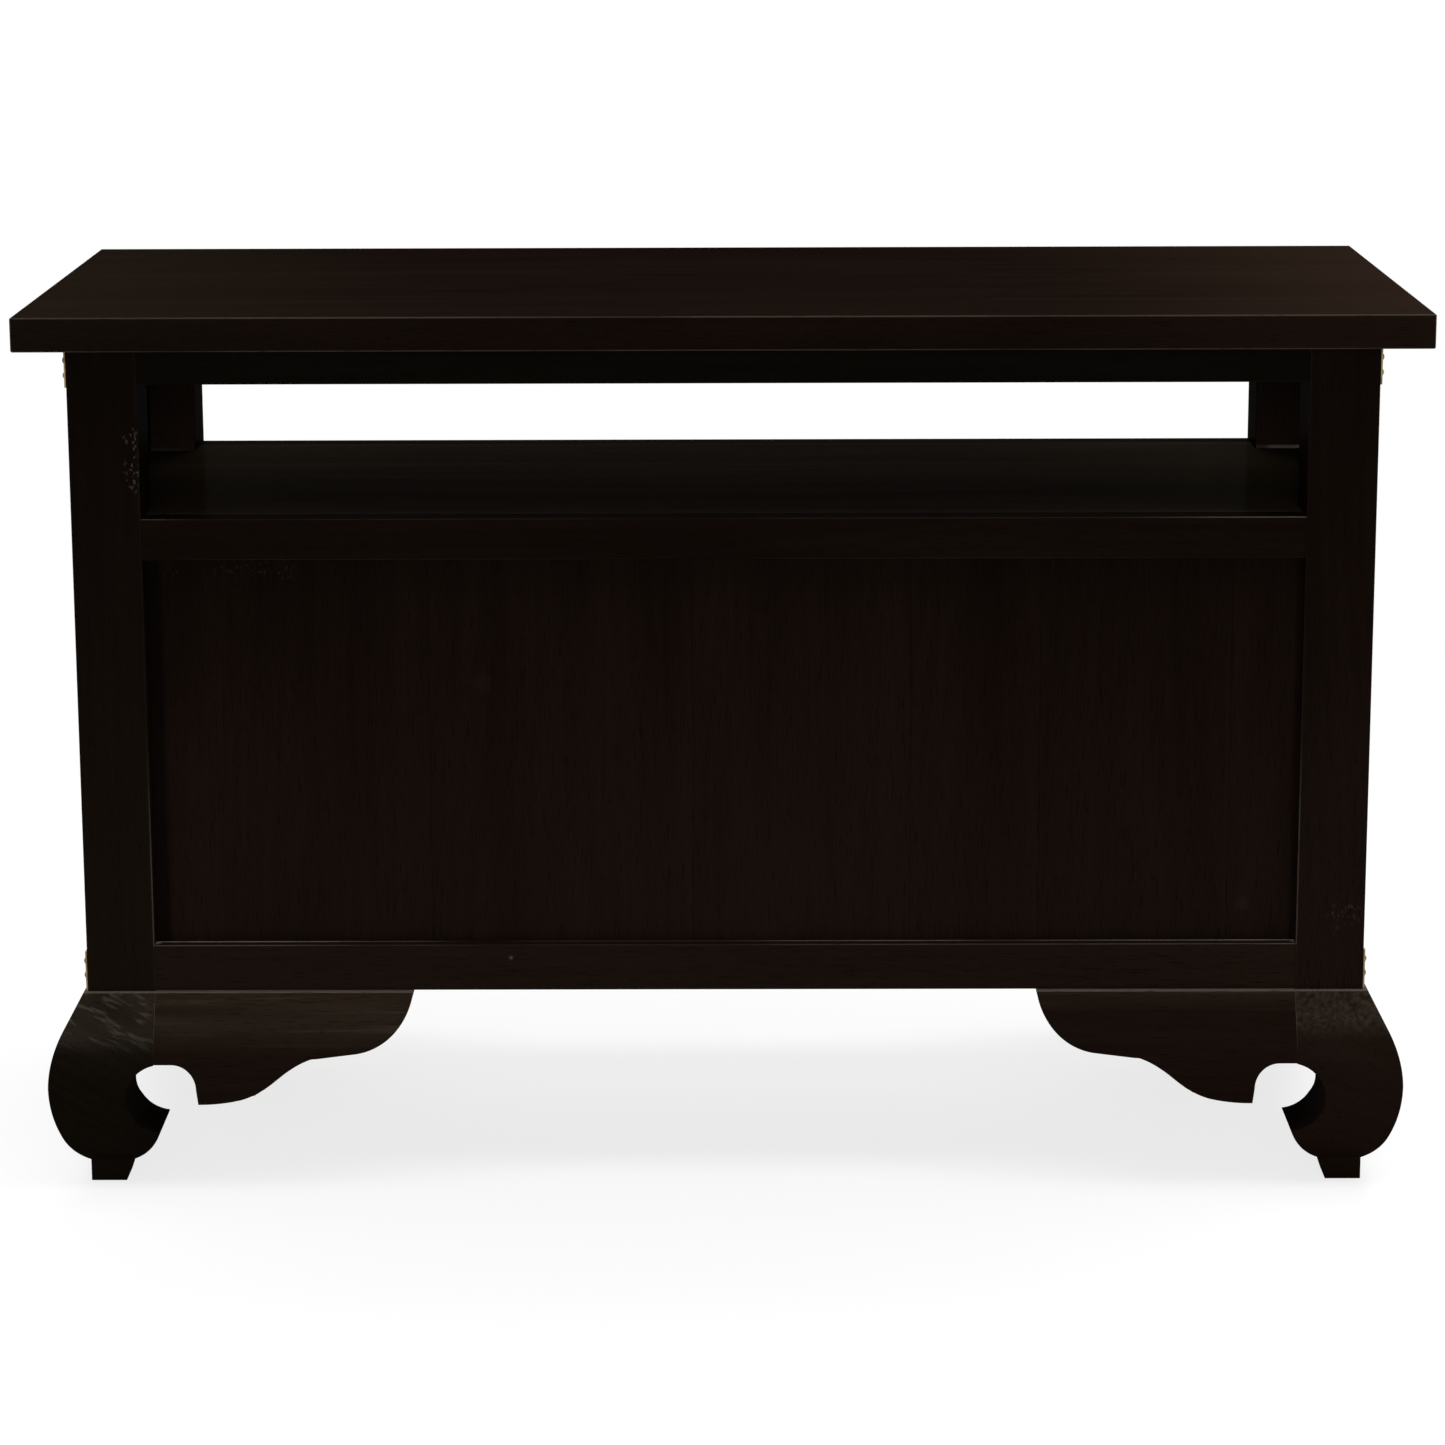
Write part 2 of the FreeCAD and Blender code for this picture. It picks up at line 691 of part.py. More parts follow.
# Doors
def make_door(side):
    """A framed door with a flat panel, let into the opening beside one front post."""
    door = f"{SIDE_NAMES[side]}_door"
    deep = span(FRONT, DOOR_BACK, FACE_DEEP)
    groove = span(FRONT, DOOR_GROOVE_IN, DOOR_GROOVE_OUT)
    stile_in = f"({DOOR_IN} + door_stile)"
    stile_out = f"({DOOR_OUT} - door_stile)"
    rail_heights = {
        "bottom": (DOOR_LOW, f"{DOOR_LOW} + door_rail"),
        "top": (f"{DOOR_HIGH} - door_rail", DOOR_HIGH),
    }
    tenon_heights = {
        "bottom": (f"{DOOR_LOW} + tenon_margin", f"{DOOR_LOW} + door_rail - {TENON_SHOULDER}"),
        "top": (f"{DOOR_HIGH} - door_rail + {TENON_SHOULDER}", f"{DOOR_HIGH} - tenon_margin"),
    }
    groove_height = (f"{DOOR_LOW} + door_rail - groove_depth", f"{DOOR_HIGH} - door_rail + groove_depth")
    stiles = {"meeting": (DOOR_IN, stile_in), "hinge": (stile_out, DOOR_OUT)}
    mortises = {
        "meeting": (f"{stile_in} - door_tenon", stile_in),
        "hinge": (stile_out, f"{stile_out} + door_tenon"),
    }
    channels = {
        "meeting": (f"{stile_in} - groove_depth", stile_in),
        "hinge": (stile_out, f"{stile_out} + groove_depth"),
    }
    for name, (low, high) in stiles.items():
        label = f"{door}_{name}_stile"
        blank = stick(f"{label}_blank", "Z", span(side, low, high), deep, (DOOR_LOW, DOOR_HIGH), "door_arris")
        waste = [block(f"{label}_groove", span(side, *channels[name]), groove, groove_height)]
        for height in tenon_heights.values():
            waste.append(block(f"{label}_mortise", span(side, *mortises[name]), groove, height))
        if name == "meeting":
            depth = ("0", "spigot_length + spigot_play")
            hole = rod(f"{label}_knob_hole", "spigot_radius + spigot_play", "0", "0", depth)
            turn(hole, (1, 0, 0), -90)
            place(hole, *knob_place(side))
            waste.append(hole)
        keep(label, shaped(label, blank, remove=waste))
    for name, height in rail_heights.items():
        label = f"{door}_{name}_rail"
        blank = stick(f"{label}_blank", "X", span(side, stile_in, stile_out), deep, height, "door_arris")
        tenons = [
            block(f"{label}_tenon", span(side, *mortise), groove, tenon_heights[name])
            for mortise in mortises.values()
        ]
        low, high = height
        channel = (f"{high} - groove_depth", high) if name == "bottom" else (low, f"{low} + groove_depth")
        waste = [block(f"{label}_groove", span(side, stile_in, stile_out), groove, channel)]
        keep(label, shaped(label, blank, tenons, waste))
    panel = block(
        f"{door}_panel_blank",
        span(side, f"{stile_in} - {TONGUE}", f"{stile_out} + {TONGUE}"),
        groove,
        (f"{groove_height[0]} + panel_play", f"{groove_height[1]} - panel_play"),
    )
    keep(f"{door}_panel", panel)


def knob_place(side):
    """Where a knob's rose meets the face of its door."""
    return f"{side} * ({DOOR_IN} + door_stile / 2)", f"-{FACE_DEEP}", f"({DOOR_LOW} + {DOOR_HIGH}) / 2"


def make_knob(side):
    """A ball knob on a round rose, with a spigot into the meeting stile."""
    label = f"{SIDE_NAMES[side]}_knob"
    profile = [
        ("0", "-spigot_length", None),
        ("spigot_radius", "-spigot_length", None),
        ("spigot_radius", "0", None),
        ("rose_radius", "0", None),
        ("rose_radius", "rose_rim", None),
        ("neck_radius", "rose_thick", None),
        ("neck_radius", KNOB_UNDER, KNOB_BOW),
        ("0", "knob_length", None),
    ]
    body = doc.addObject("PartDesign::Body", f"{label}_body")
    turned = body.newObject("PartDesign::Revolution", "turned")
    turned.Profile = sketch_in(body, "XZ_Plane", profile)
    turned.ReferenceAxis = (turned.Profile[0], ["V_Axis"])
    turned.Angle = 360
    body.Tip = turned
    turn(body, (1, 0, 0), 90)
    place(body, *knob_place(side))
    keep(label, body)


# Hinges and catches
HINGE_STARTS = (f"({DOOR_LOW} + hinge_inset)", f"({DOOR_HIGH} - hinge_inset - hinge_height)")


def make_hinges(side):
    """Two butt hinges on one door: leaves on the post, leaves on the door and loose pins."""
    name = f"{SIDE_NAMES[side]}_hinge"
    x, y = f"{side} * {PIN_WIDE}", f"-{PIN_DEEP}"
    leaf_deep = (y, f"{y} + knuckle_radius + leaf_width")
    clear = "(knuckle_radius + knuckle_gap)"
    round_pin = (
        span(side, f"{PIN_WIDE} - {clear}", f"{PIN_WIDE} + {clear}"),
        (f"{y} - {clear}", f"{y} + {clear}"),
    )
    post_leaves, door_leaves, pins = [], [], []
    for low in HINGE_STARTS:
        high = f"({low} + hinge_height)"
        third = "hinge_height / 3"
        below = f"({low} + {third})"
        above = f"({high} - {third})"
        bore = rod(f"{name}_bore", "pin_radius + pin_play", x, y, (low, high))
        post_wide = span(side, f"{INSIDE_WIDE} - leaf_thick", INSIDE_WIDE)
        post_plate = block(f"{name}_post_leaf", post_wide, leaf_deep, (low, high))
        ends = [(low, f"{below} - knuckle_gap / 2"), (f"{above} + knuckle_gap / 2", high)]
        knuckles = [rod(f"{name}_end_knuckle", "knuckle_radius", x, y, end) for end in ends]
        gap = block(f"{name}_middle_gap", *round_pin, (ends[0][1], ends[1][0]))
        post_leaves.append(shaped(f"{name}_post", post_plate, knuckles, [gap, bore]))
        door_wide = span(side, DOOR_OUT, f"{DOOR_OUT} + leaf_thick")
        door_plate = block(f"{name}_door_leaf", door_wide, leaf_deep, (low, high))
        middle = (f"{below} + knuckle_gap / 2", f"{above} - knuckle_gap / 2")
        knuckle = rod(f"{name}_middle_knuckle", "knuckle_radius", x, y, middle)
        gaps = [
            block(f"{name}_end_gap", *round_pin, (low, middle[0])),
            block(f"{name}_end_gap", *round_pin, (middle[1], high)),
        ]
        door_leaves.append(shaped(f"{name}_door", door_plate, [knuckle], [*gaps, bore]))
        shank = rod(f"{name}_shank", "pin_radius", x, y, (low, high))
        head = rod(f"{name}_head", "pin_head_radius", x, y, (high, f"{high} + pin_head_height"))
        pins.append(joined(f"{name}_pin", [shank, head]))
    keep(f"{name}_post_leaves", grouped(post_leaves, f"{name}_post_group"))
    keep(f"{name}_door_leaves", grouped(door_leaves, f"{name}_door_group"))
    keep(f"{name}_pins", grouped(pins, f"{name}_pin_group"))


def make_catches():
    """A magnetic catch behind the front mid rail for each door, and the strike plate that it holds."""
    low = f"({MID_RAIL_LOW} - catch_drop)"
    catches = []
    for side in (LEFT, RIGHT):
        wide = span(side, "catch_place - catch_width / 2", "catch_place + catch_width / 2")
        body = block(
            "catch_body",
            wide,
            (f"-{RAIL_IN_DEEP}", f"-{RAIL_IN_DEEP} + catch_depth"),
            (low, f"{MID_RAIL_LOW} + catch_lap"),
        )
        strike_face = f"({DOOR_BACK} - strike_thick)"
        nose = block(
            "catch_nose",
            wide,
            (f"-{strike_face} + catch_gap", f"-{RAIL_IN_DEEP}"),
            (low, DOOR_HIGH),
        )
        catches.append(joined("catch", [body, nose]))
        strike = block(
            f"{SIDE_NAMES[side]}_strike_blank",
            span(side, "catch_place - strike_width / 2", "catch_place + strike_width / 2"),
            (f"-{DOOR_BACK}", f"-{strike_face}"),
            (low, DOOR_HIGH),
        )
        keep(f"{SIDE_NAMES[side]}_strike_plate", strike)
    keep("door_catches", grouped(catches, "catch_group"))


# Corner mounts
def plate_outline(start):
    """A corner plate, from the upright edge along and from the top or the foot of the post inwards."""
    return [
        (start, "0", None),
        ("plate_length", "0", None),
        ("plate_length", "plate_lip", "-plate_bow"),
        ("cusp_along", "cusp_up", "-plate_bow"),
        ("plate_lip", "plate_height", None),
        (start, "plate_height", None),
    ]


LEVELS = {"low": (1, "leg_height"), "high": (-1, TOP_UNDER)}


def plate_corners(start, sign, half, level):
    """A plate's outline at its place: sign is the side of the cabinet that its upright edge is on."""
    up_sign, base = LEVELS[level]
    corners = raised(
        plate_outline(start),
        lambda along: f"{sign} * ({half} - ({along}))",
        lambda rise: f"{base} + {up_sign} * ({rise})",
    )
    if sign * up_sign < 0:
        return corners
    count = len(corners)
    return [(corners[i][0], corners[i][1], corners[i - 1][2]) for i in range(count - 1, -1, -1)]


def side_plate(side, face, level):
    """A plate on a post's outer side face."""
    name = f"{FACE_NAMES[face]}_{SIDE_NAMES[side]}_{level}_side_plate"
    plate = padded(name, "YZ_Plane", plate_corners("0", face, HALF_DEEP, level), "plate_thick")
    place(plate, x=HALF_WIDE if side == RIGHT else f"-{HALF_WIDE} - plate_thick")
    return plate


def front_plate(side, level):
    """A plate on a front post's front face, which turns the corner onto the side plate."""
    name = f"front_{SIDE_NAMES[side]}_{level}_front_plate"
    plate = padded(name, "XZ_Plane", plate_corners("-plate_thick", side, HALF_WIDE, level), "plate_thick")
    place(plate, y=f"-{HALF_DEEP}")
    return plate


NAIL_SPOTS = [("nail_inset", "nail_low"), ("nail_inset", "nail_low + nail_pitch"), ("nail_far", "nail_rim")]


def nails_on(half, sign, level, stand):
    """The domed nail heads of one plate. stand turns and places a head from its two coordinates."""
    up_sign, base = LEVELS[level]
    heads = []
    for along, rise in NAIL_SPOTS:
        head = doc.addObject("Part::Sphere", "nail_head")
        head.setExpression("Radius", bound(DOME_RADIUS))
        head.setExpression("Angle1", bound(f"asin(1 - nail_dome / {DOME_RADIUS})"))
        stand(head, f"{sign} * ({half} - {along})", f"{base} + {up_sign} * ({rise})")
        heads.append(head)
    return heads


def make_corner_mounts():
    sunk = f"({DOME_RADIUS} - nail_dome)"
    rear, front, nails = [], [], []
    for level in LEVELS:
        for side in (LEFT, RIGHT):
            def on_side(head, across, up):
                turn(head, (0, 1, 0), 90 * side)
                place(head, f"{side} * ({HALF_WIDE} + plate_thick - {sunk})", across, up)

            def on_front(head, across, up):
                turn(head, (1, 0, 0), 90)
                place(head, across, f"-({HALF_DEEP} + plate_thick - {sunk})", up)

            rear.append(side_plate(side, REAR, level))
            wrap = [side_plate(side, FRONT, level), front_plate(side, level)]
            front.append(joined(f"front_{SIDE_NAMES[side]}_{level}_mount", wrap))
            for face in (FRONT, REAR):
                nails += nails_on(HALF_DEEP, face, level, on_side)
            nails += nails_on(HALF_WIDE, side, level, on_front)
    keep("rear_corner_plates", grouped(rear, "rear_plate_group"))
    keep("front_corner_mounts", grouped(front, "front_mount_group"))
    keep("corner_nails", grouped(nails, "nail_group"))


# Assembly
make_top()
for side, face in LEG_TURNS:
    make_post(side, face)
    make_leg(side, face)
    make_bracket(side, face)
for level in RAIL_HEIGHTS:
    make_long_rail(FRONT, level)
    make_long_rail(REAR, level)
make_panels()
make_board("shelf_board", SIDE_PANEL_IN, (SHELF_UNDER, "shelf_height"))
make_board("bottom_board", RAIL_IN_WIDE, (FLOOR_UNDER, BOTTOM_RAIL_TOP))
for side in (LEFT, RIGHT):
    make_short_rail(side, "top")
    make_short_rail(side, "bottom")
    make_cleat(side)
    make_apron(side)
    make_door(side)
    make_knob(side)
    make_hinges(side)
make_dowels("leg_dowels", LEG_DOWEL_LOW, LEG_DOWEL_HIGH)
make_dowels("top_dowels", TOP_DOWEL_LOW, TOP_DOWEL_HIGH)
make_catches()
make_corner_mounts()
doc.recompute()

# Every object is checked before anything is written
for obj in doc.Objects:
    if "Invalid" in obj.State or "Error" in obj.State:
        raise RuntimeError(f"{obj.Label} did not build: {obj.State}")
for obj in sub_parts:
    if obj.Shape.isNull() or not obj.Shape.isValid() or not obj.Shape.Solids:
        raise RuntimeError(f"{obj.Label} has no valid solid")

os.makedirs("parts", exist_ok=True)
for obj in sub_parts:
    obj.Shape.exportStep(f"parts/{obj.Label}.step")
print(f"{len(sub_parts)} sub-parts, {sum(len(obj.Shape.Solids) for obj in sub_parts)} solids")
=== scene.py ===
# %% [markdown]
# # A low mahogany TV cabinet on opium legs
# The cabinet stands with its back to the camera, as a seller shows how the back is made. All the wood is
# stained so dark that it is nearly black, so its shape is read from thin light lines along the edges and
# from a faint sheen on the top and the shelf. The CAD solids give every shape. This lesson frames them,
# lights them plainly, eases the sawn edges of the legs and builds the stained wood and the aged brass
# from shader nodes.

# %% Load the cabinet
import json
import math

import bmesh
import bpy
from mathutils import Euler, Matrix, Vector


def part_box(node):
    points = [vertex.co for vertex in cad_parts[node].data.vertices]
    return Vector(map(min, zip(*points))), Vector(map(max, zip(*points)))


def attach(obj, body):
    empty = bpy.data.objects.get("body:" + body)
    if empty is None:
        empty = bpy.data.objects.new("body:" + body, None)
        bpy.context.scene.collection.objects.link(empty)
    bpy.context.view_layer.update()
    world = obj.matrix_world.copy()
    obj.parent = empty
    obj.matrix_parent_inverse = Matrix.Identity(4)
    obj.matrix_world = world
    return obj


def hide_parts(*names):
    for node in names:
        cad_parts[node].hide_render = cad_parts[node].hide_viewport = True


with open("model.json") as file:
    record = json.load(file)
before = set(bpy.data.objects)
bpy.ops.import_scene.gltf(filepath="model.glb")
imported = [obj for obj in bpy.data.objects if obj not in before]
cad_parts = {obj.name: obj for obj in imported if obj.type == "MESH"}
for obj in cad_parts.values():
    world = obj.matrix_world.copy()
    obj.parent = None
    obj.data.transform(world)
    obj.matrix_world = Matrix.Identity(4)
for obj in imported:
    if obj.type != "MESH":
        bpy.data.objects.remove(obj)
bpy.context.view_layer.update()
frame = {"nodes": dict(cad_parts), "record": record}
nodes = frame["nodes"]

# %% [markdown]
# ## Camera
# The photographer stood well back with a long lens, a little above the top, and squared the uprights. A
# lens shift does the same in Blender: the camera tilts less, and the picture is taken from the lower part
# of its view. A large shift would push the cabinet out of every other view, so the rest is done by
# tilting the camera.

# %% Camera
CAMERA_PLACE = (-0.0172, 3.2726, 1.126)
CAMERA_TILT = 0.2006
CAMERA_TURN = math.pi + 0.0058
CAMERA_ROLL = -0.0035
LENS_MM = 99.31
SENSOR_MM = 36.0
LENS_SHIFT = -0.1

camera_data = bpy.data.cameras.new("camera")
camera_data.lens = LENS_MM
camera_data.sensor_width = SENSOR_MM
camera_data.shift_y = LENS_SHIFT
camera = bpy.data.objects.new("camera", camera_data)
turned = Euler((0, 0, CAMERA_TURN)).to_matrix()
tilted = Euler((math.pi / 2 - CAMERA_TILT, 0, 0)).to_matrix()
rolled = Euler((0, 0, CAMERA_ROLL)).to_matrix()
camera.rotation_euler = (turned @ tilted @ rolled).to_euler()
camera.location = CAMERA_PLACE
bpy.context.collection.objects.link(camera)
bpy.context.scene.camera = camera
print("camera", LENS_MM, "mm lens,", round(Vector(CAMERA_PLACE).length, 2), "m from the cabinet's foot")

# %% [markdown]
# ## Shader maths in plain Python
# A finish is a graph of nodes. Written one node at a time it is hard to read, so a small class wraps a
# number that changes over a surface, and arithmetic on it adds the Math nodes.


# %% Numbers over a surface
class Field:
    """A number that changes over a surface. Arithmetic on it adds Math nodes to its graph."""

    def __init__(self, graph, socket):
        self.graph = graph
        self.socket = socket

    def math(self, operation, *others):
        """This number and others through one Math node."""
        return self.graph.field("ShaderNodeMath", {"operation": operation}, dict(enumerate((self, *others))))

    def __add__(self, other):
        return self.math("ADD", other)

    def __sub__(self, other):
        return self.math("SUBTRACT", other)

    def __rsub__(self, other):
        return self.graph.field("ShaderNodeMath", {"operation": "SUBTRACT"}, {0: other, 1: self})

    def __mul__(self, other):
        return self.math("MULTIPLY", other)

    def __gt__(self, other):
        return self.math("GREATER_THAN", other)

    def __abs__(self):
        return self.math("ABSOLUTE")

    __radd__ = __add__
    __rmul__ = __mul__

    def ramp(self, low, high):
        """0 where the number is at low, 1 where it is at high, and a smooth step between them."""
        sockets = {"Value": self, "From Min": low, "From Max": high}
        return self.graph.field("ShaderNodeMapRange", {"interpolation_type": "SMOOTHSTEP"}, sockets)


reflected = [name for name in vars(Field) if name.startswith("__r")]
print("reflected operators, for expressions such as 1 - mask:", reflected)

# %% [markdown]
# Every other node comes from one method, which takes the node's type, then its settings, then the values
# or links of its sockets. A material and the world are both graphs of nodes, so they share it. A finish
# is a material whose patterns lie on Object coordinates, which stay put when a door swings, because each
# piece carries its own.

# %% Graphs and finishes
MIX_A, MIX_B, MIX_RESULT = 6, 7, 2


class Graph:
    """The nodes of a material or of the world."""

    def __init__(self, owner):
        owner.use_nodes = True
        self.tree = owner.node_tree
        self.tree.nodes.clear()

    def add(self, kind, settings=None, sockets=None):
        node = self.tree.nodes.new(kind)
        for name, value in (settings or {}).items():
            setattr(node, name, value)
        for name, value in (sockets or {}).items():
            value = value.socket if isinstance(value, Field) else value
            if isinstance(value, bpy.types.NodeSocket):
                self.tree.links.new(value, node.inputs[name])
            else:
                node.inputs[name].default_value = value
        return node

    def field(self, kind, settings=None, sockets=None, output=0):
        """A new node's output as a number to calculate with."""
        return Field(self, self.add(kind, settings, sockets).outputs[output])


class Finish(Graph):
    """A material that is built node by node on Object coordinates."""

    def __init__(self, name):
        self.material = bpy.data.materials.new(name)
        super().__init__(self.material)
        coordinates = self.add("ShaderNodeTexCoord")
        self.place = coordinates.outputs["Object"]
        self.normal = coordinates.outputs["Normal"]

    def axes(self, vector):
        """The three numbers of a vector."""
        split = self.add("ShaderNodeSeparateXYZ", sockets={"Vector": vector})
        return [Field(self, output) for output in split.outputs]

    def noise(self, per_metre, shift=(0, 0, 0), detail=2.0, distortion=0.0):
        """Noise with about that many spots to the metre along X, Y and Z."""
        stretch = {"Vector": self.place, "Location": shift, "Scale": per_metre}
        spread = self.add("ShaderNodeMapping", sockets=stretch)
        sockets = {"Vector": spread.outputs[0], "Scale": 1.0, "Detail": detail, "Distortion": distortion}
        return self.field("ShaderNodeTexNoise", sockets=sockets)

    def blend(self, share, first, second):
        """One colour at share 0, the other at share 1."""
        mix = self.add("ShaderNodeMix", {"data_type": "RGBA"}, {0: share, MIX_A: first, MIX_B: second})
        return mix.outputs[MIX_RESULT]

    def raised(self, height, depth):
        """A normal for a surface whose height goes from 0 to depth, in metres."""
        bump = self.add("ShaderNodeBump", sockets={"Height": height, "Distance": depth, "Strength": 1.0})
        return bump.outputs[0]

    def finish(self, **sockets):
        """Closes the graph with a surface shader. Underscores in the names stand for spaces."""
        named = {name.replace("_", " "): value for name, value in sockets.items()}
        shader = self.add("ShaderNodeBsdfPrincipled", sockets=named)
        self.add("ShaderNodeOutputMaterial", sockets={"Surface": shader.outputs[0]})
        return self.material


print("a finish can", [name for name in vars(Finish) if not name.startswith("_")])

# %% [markdown]
# ## Floor and backdrop
# A catalogue picture has a white ground with no horizon. The floor could be lit until it is white, but
# that light would fall on the wood too. So the floor shows itself white to the camera, and near the
# cabinet it keeps a part of its real shading, which leaves a pale shadow. What mirrors or glass would
# show counts as seen by the camera.

# %% White floor
WHITE = (1.0, 1.0, 1.0, 1.0)
FLOOR_COLOUR = (0.8, 0.8, 0.8, 1.0)
FLOOR_HALF = 30.0
SHADOW_SHARE = 0.22
SHADOW_REACH = (2.4, 0.9)


def seen_directly(graph):
    """1 for what the camera sees straight, mirrored or through glass, 0 for light falling on a surface."""
    paths = graph.add("ShaderNodeLightPath")
    kinds = ("Camera", "Glossy", "Transmission")
    straight, mirrored, through = [Field(graph, paths.outputs[f"Is {kind} Ray"]) for kind in kinds]
    return straight.math("MAXIMUM", mirrored.math("MAXIMUM", through))


floor_mesh = bpy.data.meshes.new("floor")
floor_form = bmesh.new()
bmesh.ops.create_grid(floor_form, x_segments=1, y_segments=1, size=FLOOR_HALF)
floor_form.to_mesh(floor_mesh)
floor_form.free()
floor = bpy.data.objects.new("floor", floor_mesh)
bpy.context.collection.objects.link(floor)

floor_finish = Finish("white_floor")
direct = seen_directly(floor_finish)
away = floor_finish.field("ShaderNodeVectorMath", {"operation": "LENGTH"}, {0: floor_finish.place}, "Value")
shade_colour = floor_finish.blend(direct, FLOOR_COLOUR, WHITE)
shaded = floor_finish.add("ShaderNodeBsdfDiffuse", sockets={"Color": shade_colour})
plain = floor_finish.add("ShaderNodeEmission", sockets={"Color": WHITE, "Strength": 1.0})
plain_share = direct * (1 - away.ramp(*SHADOW_REACH) * SHADOW_SHARE)
floor_sockets = {0: plain_share, 1: shaded.outputs[0], 2: plain.outputs[0]}
floor_mix = floor_finish.add("ShaderNodeMixShader", sockets=floor_sockets)
floor_finish.add("ShaderNodeOutputMaterial", sockets={"Surface": floor_mix.outputs[0]})
floor_mesh.materials.append(floor_finish.material)
print("floor", 2 * FLOOR_HALF, "m wide, shadow fades out", SHADOW_REACH[0], "m from the middle")

# %% [markdown]
# The world is white where it is seen and much weaker as a light, so that corners stay dark. The Standard
# view shows a colour as it is written, where a film-like view would grey the white ground.

# %% World
AMBIENT = 0.25

world = bpy.data.worlds.new("white_studio")
bpy.context.scene.world = world
sky = Graph(world)
sky_light = seen_directly(sky) * (1 - AMBIENT) + AMBIENT
background = sky.add("ShaderNodeBackground", sockets={"Color": WHITE, "Strength": sky_light})
sky.add("ShaderNodeOutputWorld", sockets={"Surface": background.outputs[0]})
bpy.context.scene.view_settings.view_transform = "Standard"
print("ambient light", AMBIENT)

# %% [markdown]
# ## Lamps
# The picture is lit from a wide soft ceiling, so the top and the upper slopes of the legs are the
# lightest places, the overhang darkens the rail under it, and the back grows lighter towards the foot.
# The ceiling is two strips, one behind the middle of the cabinet and one in front of it. Small soft boxes
# near the two ends lighten the ends of the top, one more than the other. A box at the camera's height
# lights the back, and one high in front gives the doors about the same light.

# %% Lamps
LAMPS = {
    "ceiling_back": {"place": (0.0, 0.75, 2.6), "aim": (0.0, 0.75, 0.0), "size": (3.0, 0.9), "watts": 26},
    "ceiling_front": {"place": (0.0, -0.75, 2.6), "aim": (0.0, -0.75, 0.0), "size": (3.0, 0.9), "watts": 26},
    "left_soft_box": {"place": (1.0, 0.0, 1.2), "aim": (0.4, 0.0, 0.7), "size": (1.2, 0.5), "watts": 6},
    "right_soft_box": {"place": (-1.0, 0.0, 1.2), "aim": (-0.4, 0.0, 0.7), "size": (1.2, 0.5), "watts": 12},
    "back_soft_box": {"place": (0.0, 3.1, 1.1), "aim": (0.0, 0.0, 0.5), "size": (2.0, 0.8), "watts": 30},
    "front_soft_box": {"place": (0.0, -2.6, 2.0), "aim": (0.0, 0.0, 0.4), "size": (2.4, 1.0), "watts": 26},
}

for name, lamp in LAMPS.items():
    light = bpy.data.lights.new(name, "AREA")
    light.shape = "RECTANGLE"
    light.size, light.size_y = lamp["size"]
    light.energy = lamp["watts"]
    fixture = bpy.data.objects.new(name, light)
    fixture.location = lamp["place"]
    fixture.rotation_euler = (Vector(lamp["aim"]) - fixture.location).to_track_quat("-Z", "Y").to_euler()
    fixture.visible_camera = False
    bpy.context.collection.objects.link(fixture)
    print("lamp", name, lamp["watts"], "watts")

# %% [markdown]
# ## Flowing brackets
# The brackets beside the legs and the aprons at the sides are sawn to an ogee. The CAD outline is drawn
# from arcs, which meet at small knees, and a maker's spokeshave runs over those in one curve. A bevel
# wide enough would run into the fine points beside it. So the piece is cut into thin slices at each knee,
# and the lower ends of the slices are moved onto a curve that starts in line with both sides.

# %% Rounding the knees of an outline
KNEE_REACH = 0.013
KNEE_CUTS = 6
UNDERSIDE = -0.6
WELD = 1e-6
ON_SLICE = 1e-5
SHARP = math.radians(32)
KNEE = math.radians(9)


def edges_between(form, low, high):
    """The edges whose faces meet at an angle between low and high."""
    return [edge for edge in form.edges if edge.is_manifold and low < edge.calc_face_angle() <= high]


def lowest(form, axis, place):
    """The height of the outline at a slice."""
    return min(vertex.co.z for vertex in form.verts if abs(vertex.co[axis] - place) < ON_SLICE)


def round_knees(form, axis):
    """Bends the knees of an outline that runs along an axis into curves."""
    bends = [edge.verts[0].co for edge in edges_between(form, KNEE, SHARP)]
    knees = {round(bend[axis], 5): bend.z for bend in bends}
    for middle, corner in knees.items():
        places = [middle + KNEE_REACH * cut / KNEE_CUTS for cut in range(-KNEE_CUTS, KNEE_CUTS + 1)]
        for place in places:
            point, across = Vector(), Vector()
            point[axis], across[axis] = place, 1.0
            everything = [*form.verts, *form.edges, *form.faces]
            bmesh.ops.bisect_plane(form, geom=everything, dist=WELD, plane_co=point, plane_no=across)
        form.normal_update()
        first, last = lowest(form, axis, places[0]), lowest(form, axis, places[-1])
        for vertex in {vertex for face in form.faces if face.normal.z < UNDERSIDE for vertex in face.verts}:
            share = (vertex.co[axis] - places[0]) / (2 * KNEE_REACH)
            if 0 < share < 1:
                vertex.co.z = (1 - share) ** 2 * first + 2 * share * (1 - share) * corner + share**2 * last


print("knees are rounded over", 2000 * KNEE_REACH, "mm")

# %% [markdown]
# ## Filed edges
# The legs, brackets and aprons are sawn to a curve on two faces, and a maker takes the sharp edges off
# with a file before staining. Thin light lines along those edges are what shows a dark leg at all. A
# Bevel modifier on the CAD mesh would fail, because that mesh is loose triangles. So a copy is merged,
# its flat faces are joined again, and bmesh bevels the sharp edges. The new faces are marked in an
# attribute, by which the finish can tell the filed edges from the rest.

# %% Eased copies of the base
BASE_EASE = 0.002
FLAT = math.radians(1.0)


